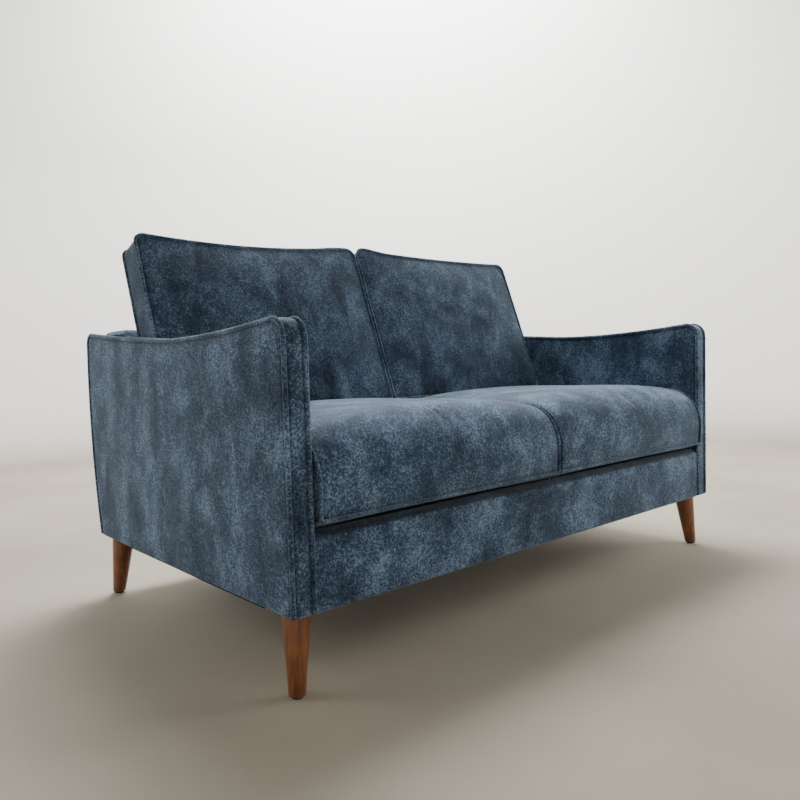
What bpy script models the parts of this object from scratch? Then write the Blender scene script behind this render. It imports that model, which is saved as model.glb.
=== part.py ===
"""Two-seat sofa with thin arms, loose cushions and splayed, tapered wooden legs.

Metres, +Z up, the front at -Y, and the origin on the floor under the middle of the plan.
"""

import math

import bmesh
import bpy
from mathutils import Vector

# Whole sofa
OVERALL_WIDTH = 1.500
OVERALL_DEPTH = 0.972
UNDERSIDE_HEIGHT = 0.152
GAP = 0.0003

# Legs, their glides and their fixings
LEG_TOP_RADIUS = 0.028
LEG_FOOT_RADIUS = 0.0155
LEG_TOP_FROM_SIDE = 0.042
LEG_TOP_FROM_ARM_FRONT = 0.052
LEG_TOP_FROM_ARM_REAR = 0.047
LEG_SPLAY = 0.0138
LEG_SIDES = 24
GLIDE_RADIUS = 0.0115
GLIDE_HEIGHT = 0.004
GLIDE_PIN_RADIUS = 0.0015
GLIDE_PIN_LENGTH = 0.014
BOLT_RADIUS = 0.004
BOLT_IN_LEG = 0.032
BOLT_IN_BLOCK = 0.024
BLOCK_HEIGHT = 0.035
BLOCK_LENGTH = 0.090
SMALL_SIDES = 12

# Covers, paddings and frame timber
COVER = 0.003
ARM_PADDING = 0.007
BACK_PADDING = 0.015
DUST_COVER = 0.0015
TIMBER = 0.025
SIDE_RAIL_THICKNESS = 0.022
SIDE_RAIL_CLEARANCE = 0.003
POST_WIDTH = 0.045
ARM_RAIL_HEIGHT = 0.050
SEAT_FRAME_HEIGHT = 0.283
CENTRE_RAIL_HEIGHT = 0.080
WEBBING = 0.0025
WEBBING_WIDTH = 0.080
STRAPS_PER_SIDE = 3
DECK_PAD = 0.009
EDGE_ROLL_WIDTH = 0.030
FRONT_COVER_SETBACK = 0.0036

# Arms
ARM_THICKNESS = 0.053
ARM_LOW_HEIGHT = 0.649
ARM_FRONT_RISE = 0.024
ARM_REAR_RISE = 0.031
ARM_LOW_FROM_FRONT = 0.437
ARM_PEAK_FROM_FRONT = 0.035
ARM_PEAK_FROM_REAR = 0.034
ARM_REAR_BOW = 0.041
REAR_BOW_HEIGHT = 0.520
ARM_FRONT_CORNER = 0.035
ARM_REAR_CORNER = 0.022

# Seat cushions
CUSHION_PROUD = 0.021
SEAT_LINE_FROM_REAR = 0.371
SEAT_CROWN = 0.205
SEAT_CROWN_FROM_FRONT = 0.266
SEAT_FALL = 0.030
SEAT_SIDE_DROP = 0.026
SEAT_SIDE_SETBACK = 0.006
SEAT_NOSE_DEPTH = 0.128
SEAT_NOSE_HEIGHT = 0.100
SEAT_TUCK = 0.015
SEAT_PIPING_HEIGHT = 0.016
SEAT_REAR_CLEARANCE = 0.0025
SEAT_REAR_CORNER = 0.022
CUSHION_SIDE_GAP = 0.0035
CUSHION_MIDDLE_GAP = 0.004
CUSHION_FULLNESS = ((0, 0), (0.03, 0.4), (0.15, 0.8), (0.5, 1), (0.85, 0.8), (0.97, 0.4), (1, 0))

# Back cushions and the back that they lean on
BACK_LEAN = math.radians(20.3)
BACK_CUSHION_LENGTH = 0.488
BACK_FRONT_CROWN = 0.030
BACK_BOXING = 0.090
BACK_REAR_CROWN = 0.034
BACK_TOP_TAPER = 0.014
BACK_BOTTOM_TUCK = 0.010
BACK_CUSHION_SETTLE = 0.001
BACK_HEIGHT = 0.687
BACK_FRONT_CORNER = 0.030
BACK_REAR_CORNER = 0.024
BACK_COVER_SEAM_HEIGHT = 0.650
BACK_RAIL_HEIGHT = 0.055
BACK_LOWER_RAIL_HEIGHT = 0.050
BACK_PANEL = 0.004

# Zips
ZIP_LENGTH = 0.500
ZIP_SLOT = 0.004
ZIP_SLIDER_WIDTH = 0.008
ZIP_SLIDER_HEIGHT = 0.010
ZIP_SLIDER_PLATE = 0.002
ZIP_PULL_LENGTH = 0.022
ZIP_PULL = 0.0014
ZIP_END_ROOM = 0.002
SEAT_ZIP_HEIGHT = 0.065
BACK_ZIP_FROM_BOTTOM = 0.042


def spread(low, high, count):
    """Evenly spaced values, both ends included."""
    return [low + (high - low) * step / (count - 1) for step in range(count)]


# Places that several pieces share
FRONT = -OVERALL_DEPTH / 2
REAR = OVERALL_DEPTH / 2
ARM_FRONT = FRONT + CUSHION_PROUD
ARM_OUTER = OVERALL_WIDTH / 2
ARM_INNER = ARM_OUTER - ARM_THICKNESS
SEAT_SPAN = ARM_INNER - GAP
FRAME_INSET = COVER + GAP + ARM_PADDING + GAP
BLOCK_TOP = UNDERSIDE_HEIGHT + BLOCK_HEIGHT
FRAME_UNDERSIDE = UNDERSIDE_HEIGHT + DUST_COVER + GAP
SIDE_RAIL_OUTER = ARM_INNER - SIDE_RAIL_CLEARANCE
SIDE_RAIL_INNER = SIDE_RAIL_OUTER - SIDE_RAIL_THICKNESS
FRONT_COVER = ARM_FRONT + FRONT_COVER_SETBACK
FRAME_FRONT = FRONT_COVER + COVER + GAP
FRAME_REAR = REAR - ARM_REAR_BOW - COVER - GAP
BLOCK_FRONT = ARM_FRONT + FRAME_INSET
BLOCK_REAR = REAR - ARM_REAR_BOW - FRAME_INSET
WEBBING_BOTTOM = SEAT_FRAME_HEIGHT + GAP
DECK_BOTTOM = WEBBING_BOTTOM + WEBBING + GAP
DECK_TOP = DECK_BOTTOM + DECK_PAD
CUSHION_BOTTOM = DECK_TOP + GAP
SEAT_LINE = REAR - SEAT_LINE_FROM_REAR
SEAT_TOP = DECK_TOP + SEAT_CROWN
BACK_FACE = BACK_BOXING + BACK_REAR_CROWN + GAP
CUSHION_OUTER = ARM_INNER - CUSHION_SIDE_GAP
CUSHION_INNER = CUSHION_MIDDLE_GAP / 2
REAR_KNOTS = spread(UNDERSIDE_HEIGHT, BACK_HEIGHT, 8)
SIDES = (("left", -1), ("right", 1))


def make_material(name, colour, roughness, metallic=0.0):
    material = bpy.data.materials.new(name)
    material.use_nodes = True
    shader = material.node_tree.nodes["Principled BSDF"]
    shader.inputs["Base Color"].default_value = (*colour, 1)
    shader.inputs["Roughness"].default_value = roughness
    shader.inputs["Metallic"].default_value = metallic
    return material


def add_part(name, bm, material, smooth=False):
    mesh = bpy.data.meshes.new(name)
    bm.to_mesh(mesh)
    bm.free()
    mesh.materials.append(material)
    if smooth:
        mesh.shade_smooth()
        mesh.set_sharp_from_angle(angle=math.radians(35))
    part = bpy.data.objects.new(name, mesh)
    bpy.context.scene.collection.objects.link(part)
    return part


def cut(part, label, bm):
    """Take a hidden shape away from a part."""
    cutter = add_part(f"{part.name}_{label}", bm, part.data.materials[0])
    cutter.hide_render = True
    cutter.display_type = "WIRE"
    boolean = part.modifiers.new(label, "BOOLEAN")
    boolean.operation = "DIFFERENCE"
    boolean.solver = "EXACT"
    boolean.object = cutter


def prism(outline, low, high, axis=0):
    """Extrude a flat outline along one axis. Its points are the other two coordinates, in order."""
    bm = bmesh.new()
    corners = []
    for first, second in outline:
        point = [first, second]
        point.insert(axis, low)
        corners.append(bm.verts.new(point))
    face = bm.faces.new(corners)
    extruded = bmesh.ops.extrude_face_region(bm, geom=[face])
    shift = Vector((0, 0, 0))
    shift[axis] = high - low
    moved = [item for item in extruded["geom"] if isinstance(item, bmesh.types.BMVert)]
    bmesh.ops.translate(bm, vec=shift, verts=moved)
    bmesh.ops.recalc_face_normals(bm, faces=bm.faces)
    return bm


def box(low, high):
    """A box between two corners, given in any order."""
    ordered = [sorted(pair) for pair in zip(low, high)]
    (x0, x1), (y0, y1), (z0, z1) = ordered
    return prism([(y0, z0), (y1, z0), (y1, z1), (y0, z1)], x0, x1)


def lofted(rings):
    """Join closed rings of points in order, and close the first and the last."""
    bm = bmesh.new()
    loops = [[bm.verts.new(point) for point in ring] for ring in rings]
    for near, far in zip(loops, loops[1:]):
        near_next = near[1:] + near[:1]
        far_next = far[1:] + far[:1]
        for a, b, c, d in zip(near, near_next, far_next, far):
            bm.faces.new((a, b, c))
            bm.faces.new((a, c, d))
    bm.faces.new(loops[0])
    bm.faces.new(loops[-1])
    bmesh.ops.recalc_face_normals(bm, faces=bm.faces)
    return bm


def cylinder(x, y, radius, low, high, sides=SMALL_SIDES):
    bm = bmesh.new()
    bmesh.ops.create_cone(
        bm, cap_ends=True, segments=sides, radius1=radius, radius2=radius, depth=high - low
    )
    bmesh.ops.translate(bm, vec=(x, y, (low + high) / 2), verts=bm.verts)
    return bm


def turned(profile, x, y, sides):
    """Spin (radius, height) points round a vertical line."""
    bm = bmesh.new()
    corners = [bm.verts.new((radius, 0, height)) for radius, height in profile]
    edges = [bm.edges.new(pair) for pair in zip(corners, corners[1:])]
    bmesh.ops.spin(
        bm,
        geom=corners + edges,
        axis=(0, 0, 1),
        cent=(0, 0, 0),
        angle=math.tau,
        steps=sides,
        use_merge=True,
    )
    bmesh.ops.remove_doubles(bm, verts=bm.verts, dist=1e-6)
    bmesh.ops.recalc_face_normals(bm, faces=bm.faces)
    bmesh.ops.translate(bm, vec=(x, y, 0), verts=bm.verts)
    return bm


def inset(outline, distance):
    """Move every side of a closed outline inwards by one distance."""
    following = outline[1:] + outline[:1]
    area = sum(a[0] * b[1] - b[0] * a[1] for a, b in zip(outline, following))
    side = math.copysign(distance, area)
    moved = []
    for index, corner in enumerate(outline):
        before = (Vector(corner) - Vector(outline[index - 1])).normalized()
        after = (Vector(following[index]) - Vector(corner)).normalized()
        across = Vector((-before.y, before.x))
        halfway = (across + Vector((-after.y, after.x))).normalized()
        moved.append(tuple(Vector(corner) + halfway * side / halfway.dot(across)))
    return moved


def fillet(before, corner, after, radius, steps=3):
    """The points of the arc that rounds a corner between two runs."""
    corner = Vector(corner)
    back = (Vector(before) - corner).normalized()
    ahead = (Vector(after) - corner).normalized()
    half = math.acos(back.dot(ahead)) / 2
    centre = corner + (back + ahead).normalized() * radius / math.sin(half)
    start = corner + back * radius / math.tan(half) - centre
    turn = math.copysign(math.pi - 2 * half, back.cross(ahead) * -1)
    arc = []
    for step in range(steps + 1):
        angle = math.atan2(start.y, start.x) + turn * step / steps
        arc.append((centre.x + radius * math.cos(angle), centre.y + radius * math.sin(angle)))
    return arc


def rear_bow(z):
    share = (z - REAR_BOW_HEIGHT) / (REAR_BOW_HEIGHT - UNDERSIDE_HEIGHT)
    return REAR - ARM_REAR_BOW * share**2


def rear_edge(z):
    """The bowed rear outline that the arms and the outside back share, as straight runs."""
    runs = list(zip(REAR_KNOTS, REAR_KNOTS[1:]))
    lower, upper = next((run for run in runs if z <= run[1]), runs[-1])
    share = (z - lower) / (upper - lower)
    return rear_bow(lower) + share * (rear_bow(upper) - rear_bow(lower))


def rear_heights(low, high):
    """The heights where a stretch of the rear outline starts, turns and ends."""
    return [low, *(z for z in REAR_KNOTS if low + COVER / 2 < z < high - COVER / 2), high]


def arm_top(y):
    """The height of an arm's top edge, which dips between its front and its rear."""
    low = ARM_FRONT + ARM_LOW_FROM_FRONT
    if y < low:
        share = min(1, (low - y) / (ARM_LOW_FROM_FRONT - ARM_PEAK_FROM_FRONT))
        return ARM_LOW_HEIGHT + ARM_FRONT_RISE * share**2
    share = min(1, (y - low) / (REAR - ARM_PEAK_FROM_REAR - low))
    return ARM_LOW_HEIGHT + ARM_REAR_RISE * share**1.4


def arm_outline(depth, bottom):
    """The side view of an arm, the given depth inside its cover, down to a flat bottom."""
    front = ARM_FRONT + depth
    front_top = ARM_LOW_HEIGHT + ARM_FRONT_RISE - depth
    rear_top = ARM_LOW_HEIGHT + ARM_REAR_RISE - depth
    top = [
        (y, arm_top(y) - depth)
        for y in spread(ARM_FRONT + 2 * ARM_FRONT_CORNER, REAR - 2 * ARM_REAR_CORNER, 10)
    ]
    heights = rear_heights(bottom, rear_top - ARM_REAR_CORNER)
    rear = [(rear_edge(z) - depth, z) for z in heights[::-1]]
    front_arc = fillet(
        (front, bottom), (front, front_top), top[0], ARM_FRONT_CORNER - depth, 4
    )
    rear_corner = (rear_edge(rear_top) - depth, rear_top)
    rear_arc = fillet(top[-1], rear_corner, rear[1], ARM_REAR_CORNER - depth)
    return [(front, bottom), *front_arc, *top, *rear_arc, *rear[1:]]


def arm_prism(across, outline, depth):
    """A prism between the two faces of the arm on one side, the given depth inside them."""
    faces = sorted((across * (ARM_INNER + depth), across * (ARM_OUTER - depth)))
    return prism(outline, *faces)


def notched_rail(front, rear, top):
    """The side view of a rail that is cut up over the leg blocks at both its ends."""
    over_block = BLOCK_TOP + GAP
    front_notch = BLOCK_FRONT + BLOCK_LENGTH + GAP
    rear_notch = BLOCK_REAR - BLOCK_LENGTH - GAP
    return [
        (front, over_block),
        (front_notch, over_block),
        (front_notch, FRAME_UNDERSIDE),
        (rear_notch, FRAME_UNDERSIDE),
        (rear_notch, over_block),
        (rear, over_block),
        (rear, top),
        (front, top),
    ]


def seat_top(y):
    """The crowned top of a seat cushion, in front of the back cushions."""
    crown = FRONT + SEAT_CROWN_FROM_FRONT
    return SEAT_TOP - SEAT_FALL * ((y - crown) / (SEAT_LINE - crown)) ** 2


def leaning(depth, along):
    """A point by its depth behind the back cushions' front seams and its place up their lean."""
    base = seat_top(SEAT_LINE) + BACK_CUSHION_SETTLE
    y = SEAT_LINE + along * math.sin(BACK_LEAN) + depth * math.cos(BACK_LEAN)
    z = base + along * math.cos(BACK_LEAN) - depth * math.sin(BACK_LEAN)
    return y, z


def leaning_at(depth, z):
    """The point of a leaning plane that lies at a height."""
    foot = leaning(depth, 0)
    return foot[0] + (z - foot[1]) * math.tan(BACK_LEAN), z


# The seat cushions reach back to the foot of the inside back
SEAT_REAR = leaning_at(BACK_FACE, CUSHION_BOTTOM)[0] - SEAT_REAR_CLEARANCE


def seat_outline(fullness):
    """The side view of a seat cushion, from its flat side panel at 0 to its middle at 1."""
    front = FRONT + SEAT_SIDE_SETBACK * (1 - fullness)
    drop = SEAT_SIDE_DROP * (1 - fullness)
    shoulder = FRONT + SEAT_NOSE_DEPTH
    waist = seat_top(shoulder) - drop - SEAT_NOSE_HEIGHT
    piping = CUSHION_BOTTOM + SEAT_PIPING_HEIGHT
    outline = [(FRONT + 1.5 * SEAT_TUCK, CUSHION_BOTTOM)]
    for z in spread(piping, waist, 3)[:-1]:
        tuck = SEAT_TUCK * ((waist - z) / (waist - piping)) ** 2
        outline.append((max(front, FRONT + tuck), z))
    for step in range(5):
        angle = math.pi / 2 * step / 5
        y = shoulder - (shoulder - front) * math.cos(angle)
        outline.append((y, waist + SEAT_NOSE_HEIGHT * math.sin(angle)))
    for y in spread(shoulder, SEAT_LINE, 6):
        share = (SEAT_LINE - y) / (SEAT_LINE - shoulder)
        outline.append((y, seat_top(y) - drop * share))
    under_back = (SEAT_REAR - SEAT_LINE) * math.tan(BACK_LEAN)
    top_rear = (SEAT_REAR, seat_top(SEAT_LINE) - under_back)
    bottom_rear = (SEAT_REAR, CUSHION_BOTTOM)
    outline += fillet(outline[-1], top_rear, bottom_rear, SEAT_REAR_CORNER)
    return outline + [bottom_rear]


def back_outline(fullness):
    """The side view of a back cushion, from its flat side panel at 0 to its middle at 1."""
    front = BACK_FRONT_CROWN * fullness
    rear = BACK_REAR_CROWN * fullness
    profile = [
        (BACK_BOTTOM_TUCK, 0),
        (BACK_BOXING - BACK_BOTTOM_TUCK, 0),
        (BACK_BOXING, BACK_ZIP_FROM_BOTTOM / 2),
        (BACK_BOXING, 1.6 * BACK_ZIP_FROM_BOTTOM),
        (BACK_BOXING + rear, BACK_CUSHION_LENGTH * 0.36),
        (BACK_BOXING + rear, BACK_CUSHION_LENGTH * 0.60),
        (BACK_BOXING + 0.45 * rear - BACK_TOP_TAPER / 4, BACK_CUSHION_LENGTH * 0.86),
        (BACK_BOXING - BACK_TOP_TAPER / 2, BACK_CUSHION_LENGTH),
        (BACK_TOP_TAPER, BACK_CUSHION_LENGTH),
        (BACK_TOP_TAPER / 2, BACK_CUSHION_LENGTH * 0.95),
        (-0.7 * front, BACK_CUSHION_LENGTH * 0.76),
        (-front, BACK_CUSHION_LENGTH * 0.50),
        (-0.8 * front, BACK_CUSHION_LENGTH * 0.22),
        (-0.1 * front, BACK_CUSHION_LENGTH * 0.04),
    ]
    return [leaning(depth, along) for depth, along in profile]


def cushion_shape(outline, low, high, depth):
    """A boxed cushion, crowned between its two flat side panels, the given depth inside them."""
    rings = []
    for share, fullness in CUSHION_FULLNESS:
        x = min(max(low + (high - low) * share, low + depth), high - depth)
        rings.append([(x, *point) for point in inset(outline(fullness), depth)])
    return lofted(rings)


def back_path(depth, bottom, end):
    """Up the inside of the back, over its top and down to a height at its rear."""
    face = BACK_FACE + depth
    top = BACK_HEIGHT - depth
    front_corner = leaning_at(face, top)
    rear_corner = (rear_edge(top) - depth, top)
    foot = leaning_at(face, bottom)
    last = (rear_edge(end) - depth, end)
    front_arc = fillet(foot, front_corner, rear_corner, BACK_FRONT_CORNER - depth)
    rear_arc = fillet(front_corner, rear_corner, last, BACK_REAR_CORNER - depth)
    return [foot, *front_arc, *rear_arc, last]


def slider_outline(place):
    """A zip slider across its slot. The first coordinate runs outwards from the cloth's face."""
    half = ZIP_SLIDER_HEIGHT / 2
    waist = ZIP_SLOT / 2 - 2 * GAP
    outside = ZIP_SLIDER_PLATE + GAP
    inside = -COVER - GAP
    outline = [
        (GAP, -half),
        (outside, -half),
        (outside, -half - ZIP_PULL_LENGTH),
        (outside + ZIP_PULL, -half - ZIP_PULL_LENGTH),
        (outside + ZIP_PULL, half),
        (GAP, half),
        (GAP, waist),
        (inside, waist),
        (inside, half),
        (inside - ZIP_SLIDER_PLATE, half),
        (inside - ZIP_SLIDER_PLATE, -half),
        (inside, -half),
        (inside, -waist),
        (GAP, -waist),
    ]
    return [place(outwards, along) for outwards, along in outline]


for existing in list(bpy.data.objects):
    bpy.data.objects.remove(existing, do_unlink=True)

chenille = make_material("blue_chenille", (0.062, 0.098, 0.150), 0.9)
lining = make_material("platform_cloth", (0.020, 0.022, 0.026), 0.9)
cambric = make_material("black_cambric", (0.012, 0.012, 0.013), 0.9)
leg_wood = make_material("stained_beech", (0.205, 0.080, 0.030), 0.45)
timber = make_material("pine_timber", (0.560, 0.380, 0.200), 0.7)
hardboard = make_material("hardboard", (0.230, 0.135, 0.070), 0.75)
elastic = make_material("elastic_webbing", (0.060, 0.060, 0.065), 0.85)
foam = make_material("upholstery_foam", (0.800, 0.740, 0.520), 0.9)
fibre = make_material("hollow_fibre", (0.820, 0.820, 0.800), 0.95)
zinc = make_material("zinc_plated_steel", (0.620, 0.630, 0.640), 0.35, 1.0)
plastic = make_material("black_polythene", (0.020, 0.020, 0.020), 0.5)

# Legs, glides, hanger bolts and the blocks that they screw into
for side, across in SIDES:
    for end, towards, y, block_end in (
        ("front", 1, ARM_FRONT + LEG_TOP_FROM_ARM_FRONT, BLOCK_FRONT),
        ("rear", -1, REAR - ARM_REAR_BOW - LEG_TOP_FROM_ARM_REAR, BLOCK_REAR),
    ):
        place = f"{end}_{side}"
        x = across * (ARM_OUTER - LEG_TOP_FROM_SIDE)
        foot_x = x + across * LEG_SPLAY
        foot_y = y - towards * LEG_SPLAY
        leg_top = UNDERSIDE_HEIGHT - GAP
        leg_foot = GLIDE_HEIGHT + GAP

        bm = bmesh.new()
        bmesh.ops.create_cone(
            bm,
            cap_ends=True,
            segments=LEG_SIDES,
            radius1=LEG_FOOT_RADIUS,
            radius2=LEG_TOP_RADIUS,
            depth=leg_top - leg_foot,
        )
        bmesh.ops.translate(bm, vec=(foot_x, foot_y, (leg_top + leg_foot) / 2), verts=bm.verts)
        upper = [vert for vert in bm.verts if vert.co.z > UNDERSIDE_HEIGHT / 2]
        bmesh.ops.translate(bm, vec=(x - foot_x, y - foot_y, 0), verts=upper)
        leg = add_part(f"leg_{place}", bm, leg_wood, smooth=True)
        bore = BOLT_RADIUS + GAP
        bolt_low = leg_top - BOLT_IN_LEG
        bolt_high = UNDERSIDE_HEIGHT + BOLT_IN_BLOCK
        cut(leg, "bolt_hole", cylinder(x, y, bore, bolt_low - GAP, leg_top + bore))
        pin_top = GLIDE_HEIGHT + GLIDE_PIN_LENGTH
        pin_bore = GLIDE_PIN_RADIUS + GAP
        cut(leg, "pin_hole", cylinder(foot_x, foot_y, pin_bore, 0, pin_top + GAP))

        chamfer = BOLT_RADIUS / 3
        bolt_profile = [
            (0, bolt_low),
            (chamfer, bolt_low),
            (BOLT_RADIUS, bolt_low + 2 * BOLT_RADIUS),
            (BOLT_RADIUS, bolt_high - chamfer),
            (BOLT_RADIUS - chamfer, bolt_high),
            (0, bolt_high),
        ]
        add_part(f"hanger_bolt_{place}", turned(bolt_profile, x, y, SMALL_SIDES), zinc, smooth=True)
        glide_profile = [
            (0, 0),
            (GLIDE_RADIUS - GLIDE_HEIGHT / 4, 0),
            (GLIDE_RADIUS, GLIDE_HEIGHT / 4),
            (GLIDE_RADIUS, GLIDE_HEIGHT),
            (GLIDE_PIN_RADIUS, GLIDE_HEIGHT),
            (GLIDE_PIN_RADIUS, pin_top),
            (0, pin_top),
        ]
        glide = turned(glide_profile, foot_x, foot_y, 16)
        add_part(f"foot_glide_{place}", glide, plastic, smooth=True)

        block_low = (across * SIDE_RAIL_INNER, block_end, UNDERSIDE_HEIGHT)
        block_high = (
            across * (ARM_OUTER - FRAME_INSET),
            block_end + towards * BLOCK_LENGTH,
            BLOCK_TOP,
        )
        block = add_part(f"leg_block_{place}", box(block_low, block_high), timber)
        hole_low = UNDERSIDE_HEIGHT - bore
        cut(block, "bolt_hole", cylinder(x, y, bore, hole_low, bolt_high + GAP))

# Seat frame
rail_span = SIDE_RAIL_INNER - GAP
front_rail = box(
    (-rail_span, FRAME_FRONT, FRAME_UNDERSIDE),
    (rail_span, FRAME_FRONT + TIMBER, SEAT_FRAME_HEIGHT),
)
add_part("front_rail", front_rail, timber)
rear_rail = box(
    (-rail_span, FRAME_REAR - TIMBER, FRAME_UNDERSIDE),
    (rail_span, FRAME_REAR, SEAT_FRAME_HEIGHT),
)
add_part("rear_rail", rear_rail, timber)
centre_rail = box(
    (-SIDE_RAIL_THICKNESS / 2, FRAME_FRONT + TIMBER + GAP, SEAT_FRAME_HEIGHT - CENTRE_RAIL_HEIGHT),
    (SIDE_RAIL_THICKNESS / 2, FRAME_REAR - TIMBER - GAP, SEAT_FRAME_HEIGHT),
)
add_part("centre_rail", centre_rail, timber)
for side, across in SIDES:
    low, high = sorted((across * SIDE_RAIL_INNER, across * SIDE_RAIL_OUTER))
    outline = notched_rail(FRAME_FRONT, FRAME_REAR, SEAT_FRAME_HEIGHT)
    add_part(f"side_rail_{side}", prism(outline, low, high), timber)

# Seat webbing, the padded deck over it and the dust cover under the frame
strap_pitch = rail_span / STRAPS_PER_SIDE
for side, across in SIDES:
    for number in range(STRAPS_PER_SIDE):
        middle = across * strap_pitch * (number + 0.5)
        strap = box(
            (middle - WEBBING_WIDTH / 2, FRAME_FRONT, WEBBING_BOTTOM),
            (middle + WEBBING_WIDTH / 2, FRAME_REAR, WEBBING_BOTTOM + WEBBING),
        )
        add_part(f"seat_strap_{side}_{number + 1}", strap, elastic)
deck_front = FRONT_COVER + EDGE_ROLL_WIDTH + GAP
deck = box((-SEAT_SPAN, deck_front, DECK_BOTTOM), (SEAT_SPAN, FRAME_REAR, DECK_TOP))
add_part("seat_deck", deck, lining)
front_cover_outline = [
    (FRONT_COVER, UNDERSIDE_HEIGHT),
    (FRONT_COVER + COVER, UNDERSIDE_HEIGHT),
    (FRONT_COVER + COVER, DECK_BOTTOM),
    (FRONT_COVER + EDGE_ROLL_WIDTH, DECK_BOTTOM),
    (FRONT_COVER + EDGE_ROLL_WIDTH, DECK_TOP),
    (FRONT_COVER, DECK_TOP),
]
add_part("front_rail_cover", prism(front_cover_outline, -SEAT_SPAN, SEAT_SPAN), chenille)
dust_side = ARM_OUTER - COVER - GAP
notch_side = SIDE_RAIL_INNER - GAP
notch_front = BLOCK_FRONT + BLOCK_LENGTH + GAP
notch_rear = BLOCK_REAR - BLOCK_LENGTH - GAP
dust_outline = []
for across, y, notch in (
    (-1, FRAME_FRONT, notch_front),
    (1, FRAME_FRONT, notch_front),
    (1, FRAME_REAR, notch_rear),
    (-1, FRAME_REAR, notch_rear),
):
    corner = [
        (across * notch_side, y),
        (across * notch_side, notch),
        (across * dust_side, notch),
    ]
    dust_outline += corner if across * y < 0 else corner[::-1]
dust_top = UNDERSIDE_HEIGHT + DUST_COVER
add_part("dust_cover", prism(dust_outline, UNDERSIDE_HEIGHT, dust_top, axis=2), cambric)

# Arms: a timber frame, foam round it and a sewn cover over the foam
inner_wall_bottom = BLOCK_TOP + COVER
for side, across in SIDES:
    post_bottom = BLOCK_TOP + GAP
    rail_bottom = ARM_LOW_HEIGHT - FRAME_INSET - ARM_RAIL_HEIGHT
    front_post_rear = BLOCK_FRONT + POST_WIDTH
    rear_post_front = BLOCK_REAR - POST_WIDTH
    post_top = rail_bottom - GAP
    front_post = [
        (BLOCK_FRONT, post_bottom),
        (front_post_rear, post_bottom),
        (front_post_rear, post_top),
        (BLOCK_FRONT, post_top),
    ]
    rear_post = [(rear_post_front, post_top), (rear_post_front, post_bottom)]
    rear_post += [(rear_edge(z) - FRAME_INSET, z) for z in rear_heights(post_bottom, post_top)]
    bottom_rail = notched_rail(
        front_post_rear + GAP, rear_post_front - GAP, BLOCK_TOP + ARM_RAIL_HEIGHT
    )
    top_rail = arm_outline(FRAME_INSET, rail_bottom)
    add_part(f"arm_front_post_{side}", arm_prism(across, front_post, FRAME_INSET), timber)
    add_part(f"arm_rear_post_{side}", arm_prism(across, rear_post, FRAME_INSET), timber)
    add_part(f"arm_bottom_rail_{side}", arm_prism(across, bottom_rail, FRAME_INSET), timber)
    add_part(f"arm_top_rail_{side}", arm_prism(across, top_rail, FRAME_INSET), timber)

    skin = COVER + GAP
    for name, depth, wall, bottom, material in (
        ("arm_padding", skin, ARM_PADDING, FRAME_UNDERSIDE, foam),
        ("arm_cover", 0, COVER, UNDERSIDE_HEIGHT, chenille),
    ):
        shape = arm_prism(across, arm_outline(depth, bottom), depth)
        layer = add_part(f"{name}_{side}", shape, material, smooth=True)
        below = bottom - wall
        inside = arm_prism(across, arm_outline(depth + wall, below), depth + wall)
        cut(layer, "inside", inside)
        opening = box(
            (across * (ARM_INNER - wall), ARM_FRONT + depth + wall + GAP / 2, below),
            (across * (ARM_INNER + depth + 1.5 * wall), BLOCK_REAR + GAP / 2, inner_wall_bottom),
        )
        cut(layer, "lower_inner_edge", opening)

# Back: two rails, a hardboard panel, foam and the two covers
cover_bottom = DECK_TOP + GAP
padding_depth = COVER + GAP
panel_depth = padding_depth + BACK_PADDING + GAP
rail_depth = panel_depth + BACK_PANEL + GAP
top_rail_bottom = BACK_HEIGHT - panel_depth - BACK_RAIL_HEIGHT
seam = BACK_COVER_SEAM_HEIGHT
inside_cover = back_path(0, cover_bottom, seam) + back_path(COVER, cover_bottom, seam)[::-1]
add_part("inside_back_cover", prism(inside_cover, -SEAT_SPAN, SEAT_SPAN), chenille, smooth=True)
padding = back_path(padding_depth, cover_bottom, seam)
padding += back_path(padding_depth + BACK_PADDING, cover_bottom, seam)[::-1]
add_part("back_padding", prism(padding, -SEAT_SPAN, SEAT_SPAN), foam, smooth=True)
top_rail = back_path(panel_depth, top_rail_bottom, top_rail_bottom)
add_part("back_top_rail", prism(top_rail, -SEAT_SPAN, SEAT_SPAN), timber)
panel = [
    leaning_at(BACK_FACE + panel_depth, cover_bottom),
    leaning_at(BACK_FACE + panel_depth, top_rail_bottom - GAP),
    leaning_at(BACK_FACE + panel_depth + BACK_PANEL, top_rail_bottom - GAP),
    leaning_at(BACK_FACE + panel_depth + BACK_PANEL, cover_bottom),
]
add_part("back_panel", prism(panel, -SEAT_SPAN, SEAT_SPAN), hardboard)
lower_rail = [
    leaning_at(BACK_FACE + rail_depth, cover_bottom),
    leaning_at(BACK_FACE + rail_depth, cover_bottom + BACK_LOWER_RAIL_HEIGHT),
    leaning_at(BACK_FACE + rail_depth + TIMBER, cover_bottom + BACK_LOWER_RAIL_HEIGHT),
    leaning_at(BACK_FACE + rail_depth + TIMBER, cover_bottom),
]
add_part("back_lower_rail", prism(lower_rail, -SEAT_SPAN, SEAT_SPAN), timber)
heights = rear_heights(UNDERSIDE_HEIGHT, seam - GAP)
outside_cover = [(rear_edge(z), z) for z in heights]
outside_cover += [(rear_edge(z) - COVER, z) for z in heights[::-1]]
add_part("outside_back_cover", prism(outside_cover, -SEAT_SPAN, SEAT_SPAN), chenille, smooth=True)


# Cushions: a cover with a zip slot, its filling and its zip slider
def seat_zip(outwards, along):
    return SEAT_REAR + outwards, CUSHION_BOTTOM + SEAT_ZIP_HEIGHT + along


def back_zip(outwards, along):
    return leaning(BACK_BOXING + outwards, BACK_ZIP_FROM_BOTTOM + along)


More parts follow.
